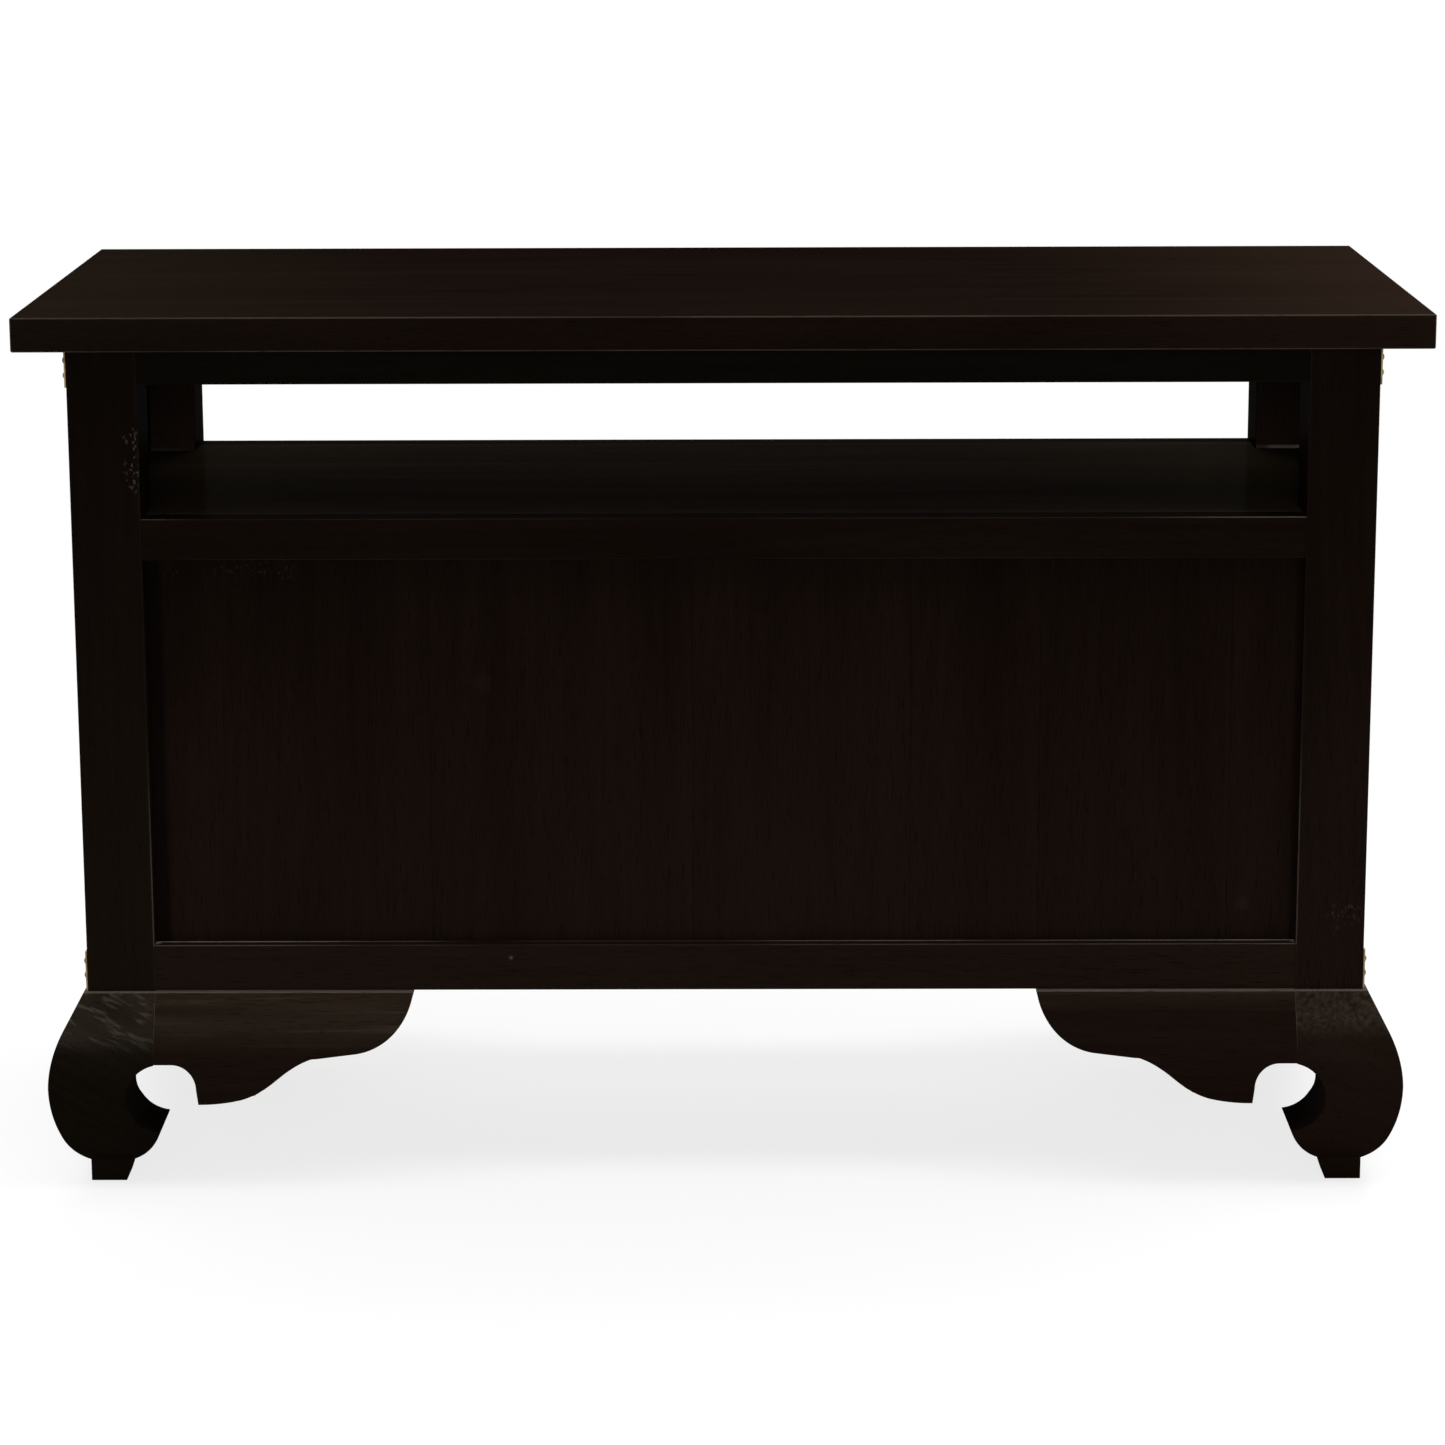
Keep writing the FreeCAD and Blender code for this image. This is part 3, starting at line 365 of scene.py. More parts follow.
def file_edges(form):
    """Bevels the sharp edges, and marks the new faces as filed."""
    made = bmesh.ops.bevel(
        form,
        geom=edges_between(form, SHARP, math.pi),
        offset=BASE_EASE,
        offset_type="OFFSET",
        affect="EDGES",
        segments=2,
        profile=0.5,
        material=-1,
        clamp_overlap=True,
    )
    filed = form.faces.layers.float["filed"]
    for face in made["faces"]:
        face[filed] = 1.0


def eased_copy(node):
    """A copy of a CAD piece with its sharp edges filed off, standing for that piece."""
    form = bmesh.new()
    form.from_mesh(nodes[node].data)
    form.faces.layers.float.new("filed")
    bmesh.ops.remove_doubles(form, verts=form.verts, dist=WELD)
    bmesh.ops.dissolve_limit(form, angle_limit=FLAT, verts=form.verts, edges=form.edges)
    if not node.endswith("_leg"):
        round_knees(form, 1 if node.endswith("_apron") else 0)
        bmesh.ops.dissolve_limit(form, angle_limit=FLAT, verts=form.verts, edges=form.edges)
    file_edges(form)
    for face in form.faces:
        face.smooth = True
    mesh = bpy.data.meshes.new(f"{node}_eased")
    form.to_mesh(mesh)
    form.free()
    mesh.set_sharp_from_angle(angle=SHARP)
    piece = bpy.data.objects.new(mesh.name, mesh)
    bpy.context.collection.objects.link(piece)
    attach(piece, "carcass")
    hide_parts(node)
    return piece


slots = {part["node"]: part["material_slot"] for part in frame["record"]["subparts"]}
base_nodes = sorted(node for node, slot in slots.items() if slot == "base_wood")
base_pieces = {node: eased_copy(node) for node in base_nodes}
print("eased", {node: len(piece.data.polygons) for node, piece in base_pieces.items()})

# %% [markdown]
# ## Grain of mahogany
# Mahogany has long soft streaks, growth rings that show as arches on a flat-sawn board, fine lines and
# short open pores. The dark stain leaves only a little of that contrast. Noise stretched along the grain
# gives the streaks, lines and pores. The rings are a sine of the distance from the middle of the trunk,
# which lies a little below the board. Wide pieces are glued up from several boards, so the pattern jumps
# at each joint.

# %% Grain of a board
STREAKS = (2.0, 28.0)
LINES = (7.0, 240.0)
PORES = (70.0, 1300.0)
CLOUDS = (4.0, 9.0)
WANDER = (1.6, 6.0)
OPEN_PORES = (0.60, 0.72)
RING_GAP = 0.011
RING_TAPER = 0.05
RING_WANDER = 0.05
PITH_DEPTH = 0.035
BATCH_STEP = (3.17, 5.31, 7.73)
BOARD_STEP = (3.1, 5.7, 2.3)
TONE_STEP = 0.62
TONE_SPREAD = 0.14
END_BOARD_HALF = 0.1
JOINT_HALF = 0.0005


def along_grain(grain, rates):
    """Noise rates per metre, slow along the grain and quick across it."""
    slow, quick = rates
    return tuple(slow if axis == grain else quick for axis in "XYZ")


class Grain:
    """The layers of a wood pattern: figure, pores, clouds and the joints between boards."""

    def __init__(self, wood, grain, across, batch, joints=(), slant=0.0):
        if slant:
            turned = wood.add("ShaderNodeMapping", sockets={"Vector": wood.place, "Rotation": (0, slant, 0)})
            wood.place = turned.outputs[0]
        position = dict(zip("XYZ", wood.axes(wood.place)))
        board, reach = self.glue_up(wood, position[across], joints)
        shift = tuple(batch * step for step in BATCH_STEP)
        self.streaks = wood.noise(along_grain(grain, STREAKS), shift, detail=4, distortion=0.6)
        self.lines = wood.noise(along_grain(grain, LINES), shift, detail=2)
        self.pores = wood.noise(along_grain(grain, PORES), shift, detail=1).ramp(*OPEN_PORES)
        self.clouds = wood.noise(along_grain(grain, CLOUDS), shift, detail=2)
        wander = wood.noise(along_grain(grain, WANDER), shift, detail=1)
        radius = (reach * reach + PITH_DEPTH**2).math("SQRT")
        turn = (radius + position[grain] * RING_TAPER + wander * RING_WANDER) * (math.tau / RING_GAP)
        rings = turn.math("SINE") * 0.5 + 0.5
        self.figure = self.streaks * 0.5 + rings * 0.05 + self.lines * 0.15 + self.clouds * 0.3
        if joints:
            self.figure = (board * TONE_STEP).math("FRACT") * TONE_SPREAD - TONE_SPREAD / 2 + self.figure

    def glue_up(self, wood, side, joints):
        """Counts the boards across a piece, moves the pattern on each and finds the way to its middle."""
        middles = [(low + high) / 2 for low, high in zip(joints, joints[1:])]
        if middles:
            middles = [middles[0] - END_BOARD_HALF, *middles, middles[-1] + END_BOARD_HALF]
        else:
            middles = [0.0]
        board, middle, self.joint = 0.0, middles[0], 0.0
        for joint, before, after in zip(joints, middles, middles[1:]):
            passed = side > joint
            board, middle = passed + board, passed * (after - before) + middle
            self.joint = abs(side - joint).ramp(JOINT_HALF, 0.0) + self.joint
        if joints:
            jump = {0: BOARD_STEP, "Scale": board}
            step = wood.add("ShaderNodeVectorMath", {"operation": "SCALE"}, jump).outputs[0]
            moved = wood.add("ShaderNodeVectorMath", {"operation": "ADD"}, {0: wood.place, 1: step})
            wood.place = moved.outputs[0]
        return board, side - middle


print("rings", RING_GAP * 1000, "mm apart")

# %% [markdown]
# ## Stain
# The stain is nearly black, red-brown on most pieces and more ochre where light has faded it. A finish
# mixes the two and makes the result lighter or darker, with a dark and a light end for the grain to move
# between. The other colours are what lies on or shows through the stain: bare edges, old polish, dust and
# bleached places. Some of them are painted light: painted highlights on edges, ledges and seams, and
# painted light on the ends of the boards and low down on the cabinet.

# %% Colours of the stain and of painted light
RED_STAIN = ((0.0046, 0.0022, 0.0014), (0.0088, 0.0047, 0.0032))
OCHRE_STAIN = ((0.0048, 0.0031, 0.0018), (0.0092, 0.0062, 0.0039))
PORE_COLOUR = (0.0020, 0.0011, 0.0007, 1.0)
# The pale colours of rubbed edges, polish, wax and dust also paint highlights on edges, ledges and seams.
RUBBED_AND_LIT_COLOUR = (0.036, 0.026, 0.020, 1.0)
POLISH_AND_HIGHLIGHT_COLOUR = (0.075, 0.060, 0.047, 1.0)
WAX_AND_HIGHLIGHT_COLOUR = (0.13, 0.11, 0.085, 1.0)
DUST_AND_SEAM_LIGHT_COLOUR = (0.75, 0.68, 0.56, 1.0)
# Below: colours of painted light for low parts and the ends of boards, and for the faded and lit upper
# slopes.
PAINTED_LIGHT_COLOUR = (0.040, 0.0245, 0.0170, 1.0)
REDDENED_COLOUR = (0.041, 0.0225, 0.0165, 1.0)
GOLDEN_COLOUR = (0.042, 0.030, 0.0195, 1.0)
SANDY_COLOUR = (0.042, 0.033, 0.0235, 1.0)
OCHRE_LIT_END = (0.040, 0.031, 0.0180, 1.0)


def stain(step, ochre, tone):
    """The dark or the light end of the stain as a shader colour."""
    pairs = zip(RED_STAIN[step], OCHRE_STAIN[step])
    return tuple(tone * (red * (1 - ochre) + yellow * ochre) for red, yellow in pairs) + (1.0,)


print("stains", stain(0, 0.2, 1.0), stain(1, 0.2, 1.0))

# %% [markdown]
# ## Wear and painted highlights
# On a square piece the normal leaves the axes only at the eased edges, so it tells where the stain has
# been rubbed thin, and the same lighter edges are also painted highlights where light catches them. On a
# sawn leg it turns everywhere, so there the marked faces tell. Old polish collects in corners as a pale
# line, and the pale lines on ledges and seams are painted highlights. Torn grain shows as short pale ticks.

# %% Worn places and painted highlights
EDGE_LEAN = (0.01, 0.1)
LIT_EDGE_HEIGHTS = (0.105, 0.140)
LEDGE_HIGHLIGHT_HEIGHTS = (0.1588, 0.1596)
SPOT_CORE = 0.3
TORN_RATES = (480.0, 480.0, 230.0)
TORN_TICKS = (0.57, 0.65)
PATCHY_WEAR = (0.2, 0.6)
PATCHY_POLISH = (0.25, 0.55)


def square_edges(wood, normal, height):
    """1 on the eased edges of a piece whose faces lie along the axes."""
    x, y, z = [abs(number) for number in normal]
    return (1 - x.math("MAXIMUM", y.math("MAXIMUM", z))).ramp(*EDGE_LEAN)


def lit_filed_edges(wood, normal, height):
    """1 on the filed edges of a sawn piece, as far up as light reaches them: a painted highlight."""
    filed = wood.field("ShaderNodeAttribute", {"attribute_name": "filed"}, output="Fac")
    return filed * height.ramp(*LIT_EDGE_HEIGHTS)


def near(wood, place, centre, radius):
    """1 at a spot on a piece and 0 at a radius from it."""
    away = wood.field("ShaderNodeVectorMath", {"operation": "DISTANCE"}, {0: place, 1: centre}, "Value")
    return away.ramp(radius, radius * SPOT_CORE)


def wear_and_highlight_share(wood, pattern, place, normal, look):
    """How much of the stain is thinned at the edges or lies under old polish, and how much is painted
    highlight on lit edges, ledges and seams.
    """
    height = wood.axes(place)[2]
    wear_and_highlight = look["edges"](wood, normal, height) * pattern.clouds.ramp(*PATCHY_WEAR) * look["rubbed"]
    # The ledge share is a painted highlight along the top of the ledge.
    if look["ledge"]:
        wear_and_highlight = wear_and_highlight + height.ramp(*LEDGE_HIGHLIGHT_HEIGHTS) * look["ledge"]
    for centre, radius, strength in look["marks"]:
        wear_and_highlight = wear_and_highlight + near(wood, place, centre, radius) * strength
    for centre, radius, strength in look["torn"]:
        wear_and_highlight = wear_and_highlight + near(wood, place, centre, radius) * wood.noise(TORN_RATES).ramp(*TORN_TICKS) * strength
    if look["corner"]:
        wear_and_highlight = wear_and_highlight + look["corner"](wood, place, normal) * pattern.clouds.ramp(*PATCHY_POLISH)
    return wear_and_highlight


print("torn ticks are about", round(1000 / TORN_RATES[2], 1), "mm long")

# %% [markdown]
# The upper slopes of the legs and brackets are lighter, in streaks on most of them and in sandy spots where
# the grain was torn: partly daylight-faded stain and partly painted light from above. The ends of the
# boards are painted lighter as painted light. The cabinet is painted lighter low down and darker under the
# overhang: painted light and painted shade.

# %% Faded places and painted light
LOW_LIGHT_HEIGHTS = (0.60, 0.18)
END_REACH = (0.22, 0.56)
FACING_UP = (-1.1, 0.9)
MOTTLE_RATES = (260.0, 260.0, 260.0)
MOTTLE_SPOTS = (0.2, 0.8)
STREAK_LINES = (0.54, 0.68)
STREAK_FLOOR = 0.2


def faded(wood, pattern, colour, place, normal, look):
    """The stain after years of daylight, with painted light on upper slopes, board ends and low parts."""
    x, _, height = wood.axes(place)
    # The fade of the legs and brackets is partly faded stain and partly painted light on their upper slopes.
    if look["fade"]:
        bleached_and_lit = pattern.streaks - STREAK_FLOOR + pattern.lines.ramp(*STREAK_LINES) * look["streaky"]
        if look["mottled"]:
            bleached_and_lit = wood.noise(MOTTLE_RATES, detail=4).ramp(*MOTTLE_SPOTS)
        share = height.ramp(*look["faded"]) * bleached_and_lit * look["fade"]
        colour = wood.blend(share, colour, look["fade_colour"])
    # Painted light: lighter towards the bottom, where the overhang shades less; some faces are lighter
    # still.
    greyed = height.ramp(*LOW_LIGHT_HEIGHTS) * look["greyed"]
    if look["thin"]:
        greyed = greyed + look["thin"](wood, place, normal)
    colour = wood.blend(greyed, colour, look["greyed_colour"])
    # Painted light: upward faces are lighter towards the ends of the boards.
    for side, (share, end_colour) in zip((1, -1), look["ends"]):
        towards_end = x.ramp(side * END_REACH[0], side * END_REACH[1])
        colour = wood.blend(towards_end * normal[2].ramp(*FACING_UP) * share, colour, end_colour)
    return colour


# Boards are painted lighter from here to their ends: painted light.
print("boards fade from", END_REACH[0], "m on either side of the middle")

# %% [markdown]
# ## Stained mahogany
# One function builds the wood of any piece from a table of its look, so pieces differ only in numbers.
# Almost no light is mirrored straight on, so the wood has no gloss of its own and gets a thin coat, which
# shows only at a low angle. The shelf has a sharper coat than the rest: the white ground and the posts
# are mirrored in its polish.

# %% Wood finish
FIGURE_RANGE = (0.22, 0.78)
PORE_SHARE = 0.55
GRAIN_DEPTH = 0.00010
PLAIN_LOOK = {
    "tone": 0.74,
    "ochre": 0.15,
    "sheen": 0.009,
    "blur": 0.3,
    "rubbed": 0.14,
    "worn_colour": RUBBED_AND_LIT_COLOUR,
    "greyed": 0.105,
    "greyed_colour": PAINTED_LIGHT_COLOUR,
    "thin": None,
    "pooled": None,
    "ends": (),
    "fade": 0.0,
    "faded": (0.105, 0.140),
    "fade_colour": GOLDEN_COLOUR,
    "streaky": 0.35,
    "mottled": False,
    "ledge": 0.0,
    "slant": 0.0,
    "joints": (),
    "marks": (),
    "torn": (),
    "corner": None,
    "edges": square_edges,
}


def stained_wood(name, grain, across, batch, **look):
    """Dark mahogany for one piece. What the look leaves out is taken from PLAIN_LOOK."""
    look = PLAIN_LOOK | look
    wood = Finish(name)
    place, normal = wood.place, wood.axes(wood.normal)
    pattern = Grain(wood, grain, across, batch, look["joints"], look["slant"])
    figure = pattern.figure.ramp(*FIGURE_RANGE)
    colour = wood.blend(figure, *[stain(step, look["ochre"], look["tone"]) for step in (0, 1)])
    colour = faded(wood, pattern, colour, place, normal, look)
    colour = wood.blend(wear_and_highlight_share(wood, pattern, place, normal, look), colour, look["worn_colour"])
    dark = (pattern.pores + pattern.joint) * PORE_SHARE
    if look["pooled"]:
        dark = dark + look["pooled"](wood, place)
    return wood.finish(
        Base_Color=wood.blend(dark, colour, PORE_COLOUR),
        Roughness=0.6 - figure * 0.1,
        Specular_IOR_Level=0.0,
        Coat_Weight=(pattern.lines * 0.6 + 0.7) * look["sheen"],
        Coat_Roughness=look["blur"],
        Normal=wood.raised(pattern.lines * 0.5 - pattern.pores - pattern.joint, GRAIN_DEPTH),
    )


print("a look has", len(PLAIN_LOOK), "settings")

# %% [markdown]
# ## Marks of single pieces
# The pieces that the picture shows well have wear of their own. Their places are measured from the CAD
# boxes, so a line of polish lies exactly in its corner. A mark is written as its middle, its radius and
# its strength.

# %% Places to measure from
SHELF_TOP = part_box("shelf_board")[1].z
LEDGE_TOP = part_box("rear_bottom_rail")[1].z
REAR_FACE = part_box("rear_left_post")[1].y
PANEL_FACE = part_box("back_panel")[1].y
BACK_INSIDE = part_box("back_panel")[0].y
SIDE_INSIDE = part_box("right_side_panel")[0].x
OPENING_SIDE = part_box("rear_right_post")[0].x
LEDGE_MARK = 0.004


def on_rear(x, z, radius, strength):
    """A mark on the rear face of a post or rail."""
    return ((x, REAR_FACE, z), radius, strength)


def on_panel(x, z, radius, strength):
    """A mark on the back panel."""
    return ((x, PANEL_FACE, z), radius, strength)


def on_ledge(x, radius, strength):
    """A mark on the ledge of the bottom rail, in front of the panel."""
    return ((x, PANEL_FACE + LEDGE_MARK, LEDGE_TOP), radius, strength)


print("shelf top", SHELF_TOP, "opening to", OPENING_SIDE, "side panels from", SIDE_INSIDE)

# %% [markdown]
# Old polish was left where a cloth does not reach: up the inner edges of the rear posts and at the ends of
# the middle rail. Along the ledge under the panel and where the front posts meet the shelf, the pale lines
# are painted highlights, and the backs of the front posts in the slot are painted lighter as painted light.

# %% Lines of old polish and painted highlights
FLAT_FACE = (0.9, 0.98)


def ledge_seam_highlight(wood, place, normal):
    """A painted highlight: the pale line where the back panel meets the ledge of the bottom rail."""
    y = wood.axes(place)[1]
    return normal[2].ramp(*FLAT_FACE) * y.ramp(PANEL_FACE + 0.0036, PANEL_FACE + 0.0016)


def post_corner(wood, place, normal):
    """A pale line up the inner edge of a rear post, beside the panel."""
    x, _, z = wood.axes(place)
    inner = abs(x).ramp(OPENING_SIDE + 0.003, OPENING_SIDE + 0.002)
    upright = z.ramp(LEDGE_TOP - 0.002, LEDGE_TOP) * z.ramp(0.38, 0.28)
    return square_edges(wood, normal, z) * inner * upright * 0.4


def rail_ends(wood, place, normal):
    """Polish on the upper edge of the middle rail, more of it at one end than at the other."""
    x, _, z = wood.axes(place)
    ends = x.ramp(-0.30, -0.44) + x.ramp(0.41, 0.45) * 0.5
    return square_edges(wood, normal, z) * normal[2].ramp(0.1, 0.4) * ends


def slot_back_light(wood, place, normal):
    """The back of a front post inside the side panel, painted lighter as painted light in the slot's shade.
    """
    x = wood.axes(place)[0]
    return normal[1].ramp(*FLAT_FACE) * abs(x).ramp(SIDE_INSIDE, SIDE_INSIDE - 0.001) * 0.45


def shelf_seam_highlight(wood, place, normal):
    """A painted highlight: the pale line on the outer half of a front post's back, where it meets the shelf.
    """
    x, _, z = wood.axes(place)
    foot = z.ramp(SHELF_TOP - 0.001, SHELF_TOP) * z.ramp(SHELF_TOP + 0.0032, SHELF_TOP + 0.0022)
    outer = abs(x).ramp(0.466, 0.476) * 0.85 + 0.15
    return slot_back_light(wood, place, normal) * foot * outer * 2.2


print("panel set back", round(1000 * (REAR_FACE - PANEL_FACE)), "mm from the rear of the posts")

# %% [markdown]
# The back panel is darker along its upright edges and in one upper corner, as painted shade beside the
# posts, and one board took more stain than its neighbours. The inside of the cupboard was only wiped over.

# %% Painted shade and thin stain


def panel_shade_and_stain(wood, place):
    """Where the back panel is darker: painted shade along its upright edges and in one corner, and one board
    with more stain.
    """
    x, _, z = wood.axes(place)
    wide_edge = x.ramp(OPENING_SIDE - 0.016, OPENING_SIDE - 0.009)
    narrow_edge = x.ramp(0.006 - OPENING_SIDE, 0.003 - OPENING_SIDE)
    dark_board = x.ramp(-0.250, -0.254) * x.ramp(-0.406, -0.402)
    corner = x.ramp(0.26, 0.42) * z.ramp(0.32, 0.46)
    return wide_edge * 0.75 + narrow_edge * 0.5 + dark_board * 0.14 + corner * 0.22


def inside_cupboard(wood, place, normal):
    """The faces inside the cupboard, which were wiped with a thinner stain."""
    x, y, z = wood.axes(place)
    sides = abs(x).ramp(SIDE_INSIDE + 0.001, SIDE_INSIDE + 0.0005)
    back = y.ramp(BACK_INSIDE + 0.001, BACK_INSIDE + 0.0005)
    return sides * back * z.ramp(SHELF_TOP - 0.02, SHELF_TOP - 0.03) * 0.5


print("cupboard", round(2 * SIDE_INSIDE, 3), "m wide inside")

# %% [markdown]
# ## Looks of the carcass
# Most pieces keep the plain look. The top and the shelf catch the light, and the shelf's high tone and the
# lighter ends of both are painted light. The top rail lies in the shade of the overhang, and its low tone
# is painted shade. The pieces that hands touch are rubbed along their edges.

# %% Looks of the carcass
# The front posts are painted lighter, and lighter still on their backs in the slot: painted light.
FRONT_POST_LOOK = {"tone": 1.0, "thin": slot_back_light, "corner": shelf_seam_highlight}
REAR_POST_LOOK = {"rubbed": 0.07, "worn_colour": POLISH_AND_HIGHLIGHT_COLOUR, "corner": post_corner}
HANDLED_LOOK = {"rubbed": 0.55, "worn_colour": POLISH_AND_HIGHLIGHT_COLOUR}
INNER_LOOK = {"tone": 4.0}
WIPED_LOOK = {"thin": inside_cupboard}
TORN_HEIGHTS = (0.576, 0.588, 0.600, 0.612)
SCUFFS = (0.440, 0.396, 0.380, 0.364, 0.348)
WOOD_LOOKS = {
    # The top's lighter ends are painted light, and its rubbed front edge is also a painted highlight.
    "top_board": {
        "tone": 0.73,
        "ochre": 0.2,
        "sheen": 0.002,
        "rubbed": 1.2,
        "ends": ((0.065, OCHRE_LIT_END), (0.135, PAINTED_LIGHT_COLOUR)),
        "joints": (-0.09, 0.02, 0.12),
    },
    # The shelf's high tone and its lighter ends are painted light.
    "shelf_board": {
        "tone": 3.5,
        "ochre": 1.0,
        "sheen": 0.0045,
        "blur": 0.12,
        "greyed": 0.0,
        "ends": ((0.5, OCHRE_LIT_END), (1.0, OCHRE_LIT_END)),
        "joints": (-0.07, 0.05),
    },
    # The panel is painted lighter low down as painted light, and darker at its edges as painted shade.
    "back_panel": WIPED_LOOK | {
        "greyed_colour": REDDENED_COLOUR,
        "pooled": panel_shade_and_stain,
        "joints": (-0.404, -0.252, -0.149, 0.025, 0.235),
        "marks": (on_panel(0.192, 0.411, 0.012, 0.06), on_panel(-0.417, 0.228, 0.008, 0.12)),
        "torn": [on_panel(x, 0.503, 0.012, 0.35) for x in SCUFFS],
    },
    "left_side_panel": WIPED_LOOK,
    "right_side_panel": WIPED_LOOK,
    # Its low tone is painted shade of the overhang.
    "rear_top_rail": {"tone": 0.40, "ochre": 1.8},
    "rear_mid_rail": {"worn_colour": POLISH_AND_HIGHLIGHT_COLOUR, "corner": rail_ends},
    # The bottom rail's pale edges, ledge line and ledge corners are painted highlights as well as wax.
    "rear_bottom_rail": {
        "tone": 0.9,
        "ochre": 0.3,
        "rubbed": 0.35,
        "worn_colour": WAX_AND_HIGHLIGHT_COLOUR,
        "corner": ledge_seam_highlight,
        "marks": (
            on_rear(0.172, 0.187, 0.0028, 0.3),
            on_ledge(OPENING_SIDE, 0.006, 1.0),
            on_ledge(-OPENING_SIDE, 0.005, 0.6),
        ),
    },
    "rear_right_post": REAR_POST_LOOK | {
        "tone": 0.6,
        "ochre": 0.5,
        "greyed": 0.08,
        "torn": [on_rear(0.4635, height, 0.010, 0.5) for height in TORN_HEIGHTS],
    },
    "rear_left_post": REAR_POST_LOOK | {"greyed": 0.09, "torn": (on_rear(-0.497, 0.222, 0.02, 0.15),)},
    # Its pale colour paints the highlight where the post meets the shelf.
    "front_left_post": FRONT_POST_LOOK | {"rubbed": 0.01, "worn_colour": DUST_AND_SEAM_LIGHT_COLOUR},
    "front_right_post": FRONT_POST_LOOK,
    "front_mid_rail": HANDLED_LOOK,
    "front_bottom_rail": HANDLED_LOOK,
}
WOOD_LOOKS |= {node: HANDLED_LOOK for node in slots if "_door_" in node}
WOOD_LOOKS |= {node: INNER_LOOK for node, slot in slots.items() if slot == "inner_wood"}
print("looks of their own:", len(WOOD_LOOKS))

# %% [markdown]
# ## Looks of the base
# The legs are more ochre than the carcass and faded in slanting streaks, partly painted light on their
# upper slopes, with painted highlights along their ledges and upper filed edges.
# The two rear legs and brackets that the picture shows are each matched to it, and the others keep a look
# between them.

# %% Looks of the base
BASE_LOOK = {
    "tone": 0.9,
    "sheen": 0.005,
    "rubbed": 0.8,
    "worn_colour": POLISH_AND_HIGHLIGHT_COLOUR,
    "greyed": 0.05,
    "ledge": 0.9,
    "edges": lit_filed_edges,
}
LEG_LOOK = BASE_LOOK | {
    "ochre": 0.6,
    "fade": 0.5,
    "fade_colour": SANDY_COLOUR,
    "streaky": 0.75,
    "slant": -1.1,
}
BRACKET_LOOK = BASE_LOOK | {"ochre": 0.25, "fade": 0.3, "faded": (0.120, 0.150)}
KIND_LOOKS = {"leg": LEG_LOOK, "bracket": BRACKET_LOOK, "apron": BRACKET_LOOK}
WOOD_LOOKS["rear_right_leg"] = LEG_LOOK | {
    "tone": 0.75,
    "ochre": 1.3,
    "greyed": 0.0,
    "fade": 0.85,
    "faded": (0.112, 0.132),
}
WOOD_LOOKS["rear_left_leg"] = LEG_LOOK | {
    "ochre": 0.2,
    "fade": 0.58,
    "faded": (0.122, 0.140),
    "mottled": True,
}
WOOD_LOOKS["rear_right_bracket"] = BRACKET_LOOK | {"fade": 0.68, "faded": (0.112, 0.136)}
WOOD_LOOKS["rear_left_bracket"] = BRACKET_LOOK | {"ochre": 0.0, "fade": 0.4, "faded": (0.140, 0.156)}
print("base pieces with a look of their own:", [node for node in base_nodes if node in WOOD_LOOKS])

# %% [markdown]
# ## Wood for each piece
# Each piece has its own length of the pattern, with the grain along the piece, as a maker lays it out:
# upright in posts, stiles and panels, from end to end in rails and boards. The two letters are the axis
# along the grain and the axis across the face.

# %% Wood for each piece
GRAIN_BY_KIND = {
    "post": "ZX",
    "stile": "ZX",
    "panel": "ZX",
    "leg": "ZX",
    "dowels": "ZX",
    "rail": "XZ",
    "board": "XY",
    "bracket": "XZ",
    "apron": "YZ",
    "cleat": "YZ",
}
SIDEWAYS = {
    "left_side_panel": "ZY",
    "right_side_panel": "ZY",
    "left_top_rail": "YZ",
    "right_top_rail": "YZ",
    "left_bottom_rail": "YZ",
    "right_bottom_rail": "YZ",
}

wooden = sorted(node for node, slot in slots.items() if slot.endswith("_wood"))
woods = {}
for batch, node in enumerate(wooden, start=1):
    kind = node.split("_")[-1]
    grain, across = SIDEWAYS.get(node, GRAIN_BY_KIND[kind])
    look = WOOD_LOOKS.get(node) or KIND_LOOKS.get(kind, {})
    woods[node] = stained_wood(f"{node}_wood", grain, across, batch, **look)
print("stained", len(woods), "wooden pieces")

# %% [markdown]
# ## Aged brass
# The corner mounts, the knobs and the hinges are brass that has gone brown. A little bare metal shows
# where hands rub it, and the rest is a dull film, so both colour and roughness follow one patchy mask.

# %% Brass
BARE_BRASS = (0.30, 0.215, 0.105, 1.0)
BROWN_FILM = (0.050, 0.033, 0.020, 1.0)
PATCH_RATES = (90, 90, 90)
SPECK_RATES = (900, 900, 900)
SPECK_DEPTH = 0.00008


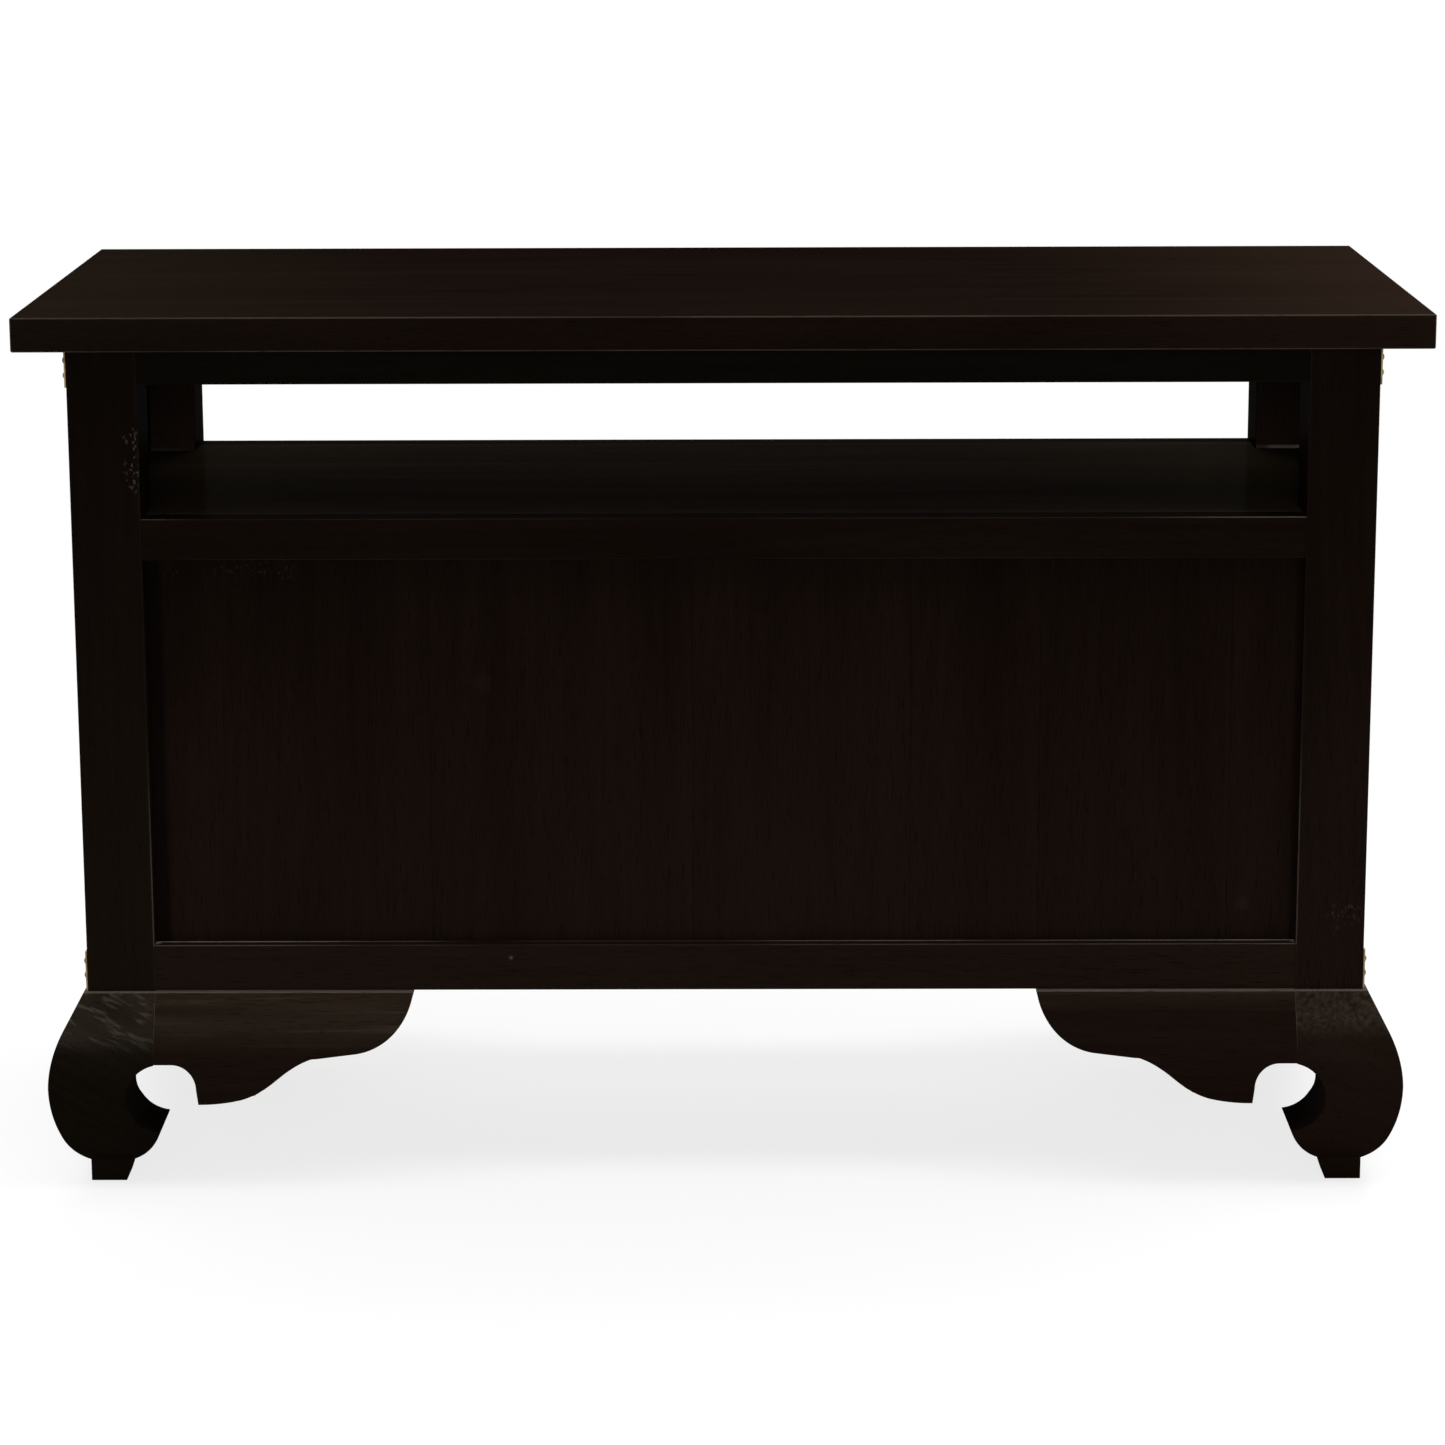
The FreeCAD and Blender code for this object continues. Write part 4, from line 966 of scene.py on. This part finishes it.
def aged_brass(name):
    brass = Finish(name)
    patches = brass.noise(PATCH_RATES, detail=4).ramp(0.42, 0.62)
    specks = brass.noise(SPECK_RATES, detail=2).ramp(0.55, 0.75)
    film = patches * 0.4 + specks * 0.25 + 0.3
    return brass.finish(
        Base_Color=brass.blend(film, BARE_BRASS, BROWN_FILM),
        Metallic=1 - film * 0.35,
        Roughness=0.34 + film * 0.3,
        Normal=brass.raised(specks, SPECK_DEPTH),
    )


fittings = {"brass": aged_brass("aged_brass")}
print("brass patches about", round(1000 / PATCH_RATES[0]), "mm wide")

# %% [markdown]
# ## Door catches
# The magnetic catches show only with the doors open: a brown moulded case under the rail and a small zinc
# plated strike on each door. The strike has the fine lines of a rolled strip, and the case has the grainy
# skin of a mould.

# %% Steel and plastic
ZINC = ((0.36, 0.36, 0.37, 1.0), (0.55, 0.55, 0.56, 1.0))
BRUSH_RATES = (1800, 40, 40)
BROWN_PLASTIC = ((0.035, 0.022, 0.015, 1.0), (0.05, 0.032, 0.022, 1.0))
MOULD_RATES = (1200, 1200, 1200)
MOULD_DEPTH = 0.00005


def zinc_steel(name):
    steel = Finish(name)
    brushed = steel.noise(BRUSH_RATES, detail=2)
    return steel.finish(
        Base_Color=steel.blend(brushed, *ZINC),
        Metallic=1.0,
        Roughness=0.3 + brushed * 0.2,
    )


def moulded_plastic(name):
    plastic = Finish(name)
    texture = plastic.noise(MOULD_RATES, detail=1)
    return plastic.finish(
        Base_Color=plastic.blend(texture, *BROWN_PLASTIC),
        Roughness=0.5 + texture * 0.15,
        Normal=plastic.raised(texture, MOULD_DEPTH),
    )


fittings["strike_steel"] = zinc_steel("zinc_steel")
fittings["catch_plastic"] = moulded_plastic("moulded_plastic")
print("made", len(fittings), "other finishes")

# %% [markdown]
# ## Putting it together
# Each CAD piece gets its finish, and so does each eased copy that stands for one.

# %% Finishes onto the pieces
for node, obj in nodes.items():
    finish = woods.get(node) or fittings[slots[node]]
    obj.data.materials.clear()
    obj.data.materials.append(finish)
for node, piece in base_pieces.items():
    piece.data.materials.append(woods[node])
print("finished", len(nodes), "pieces")
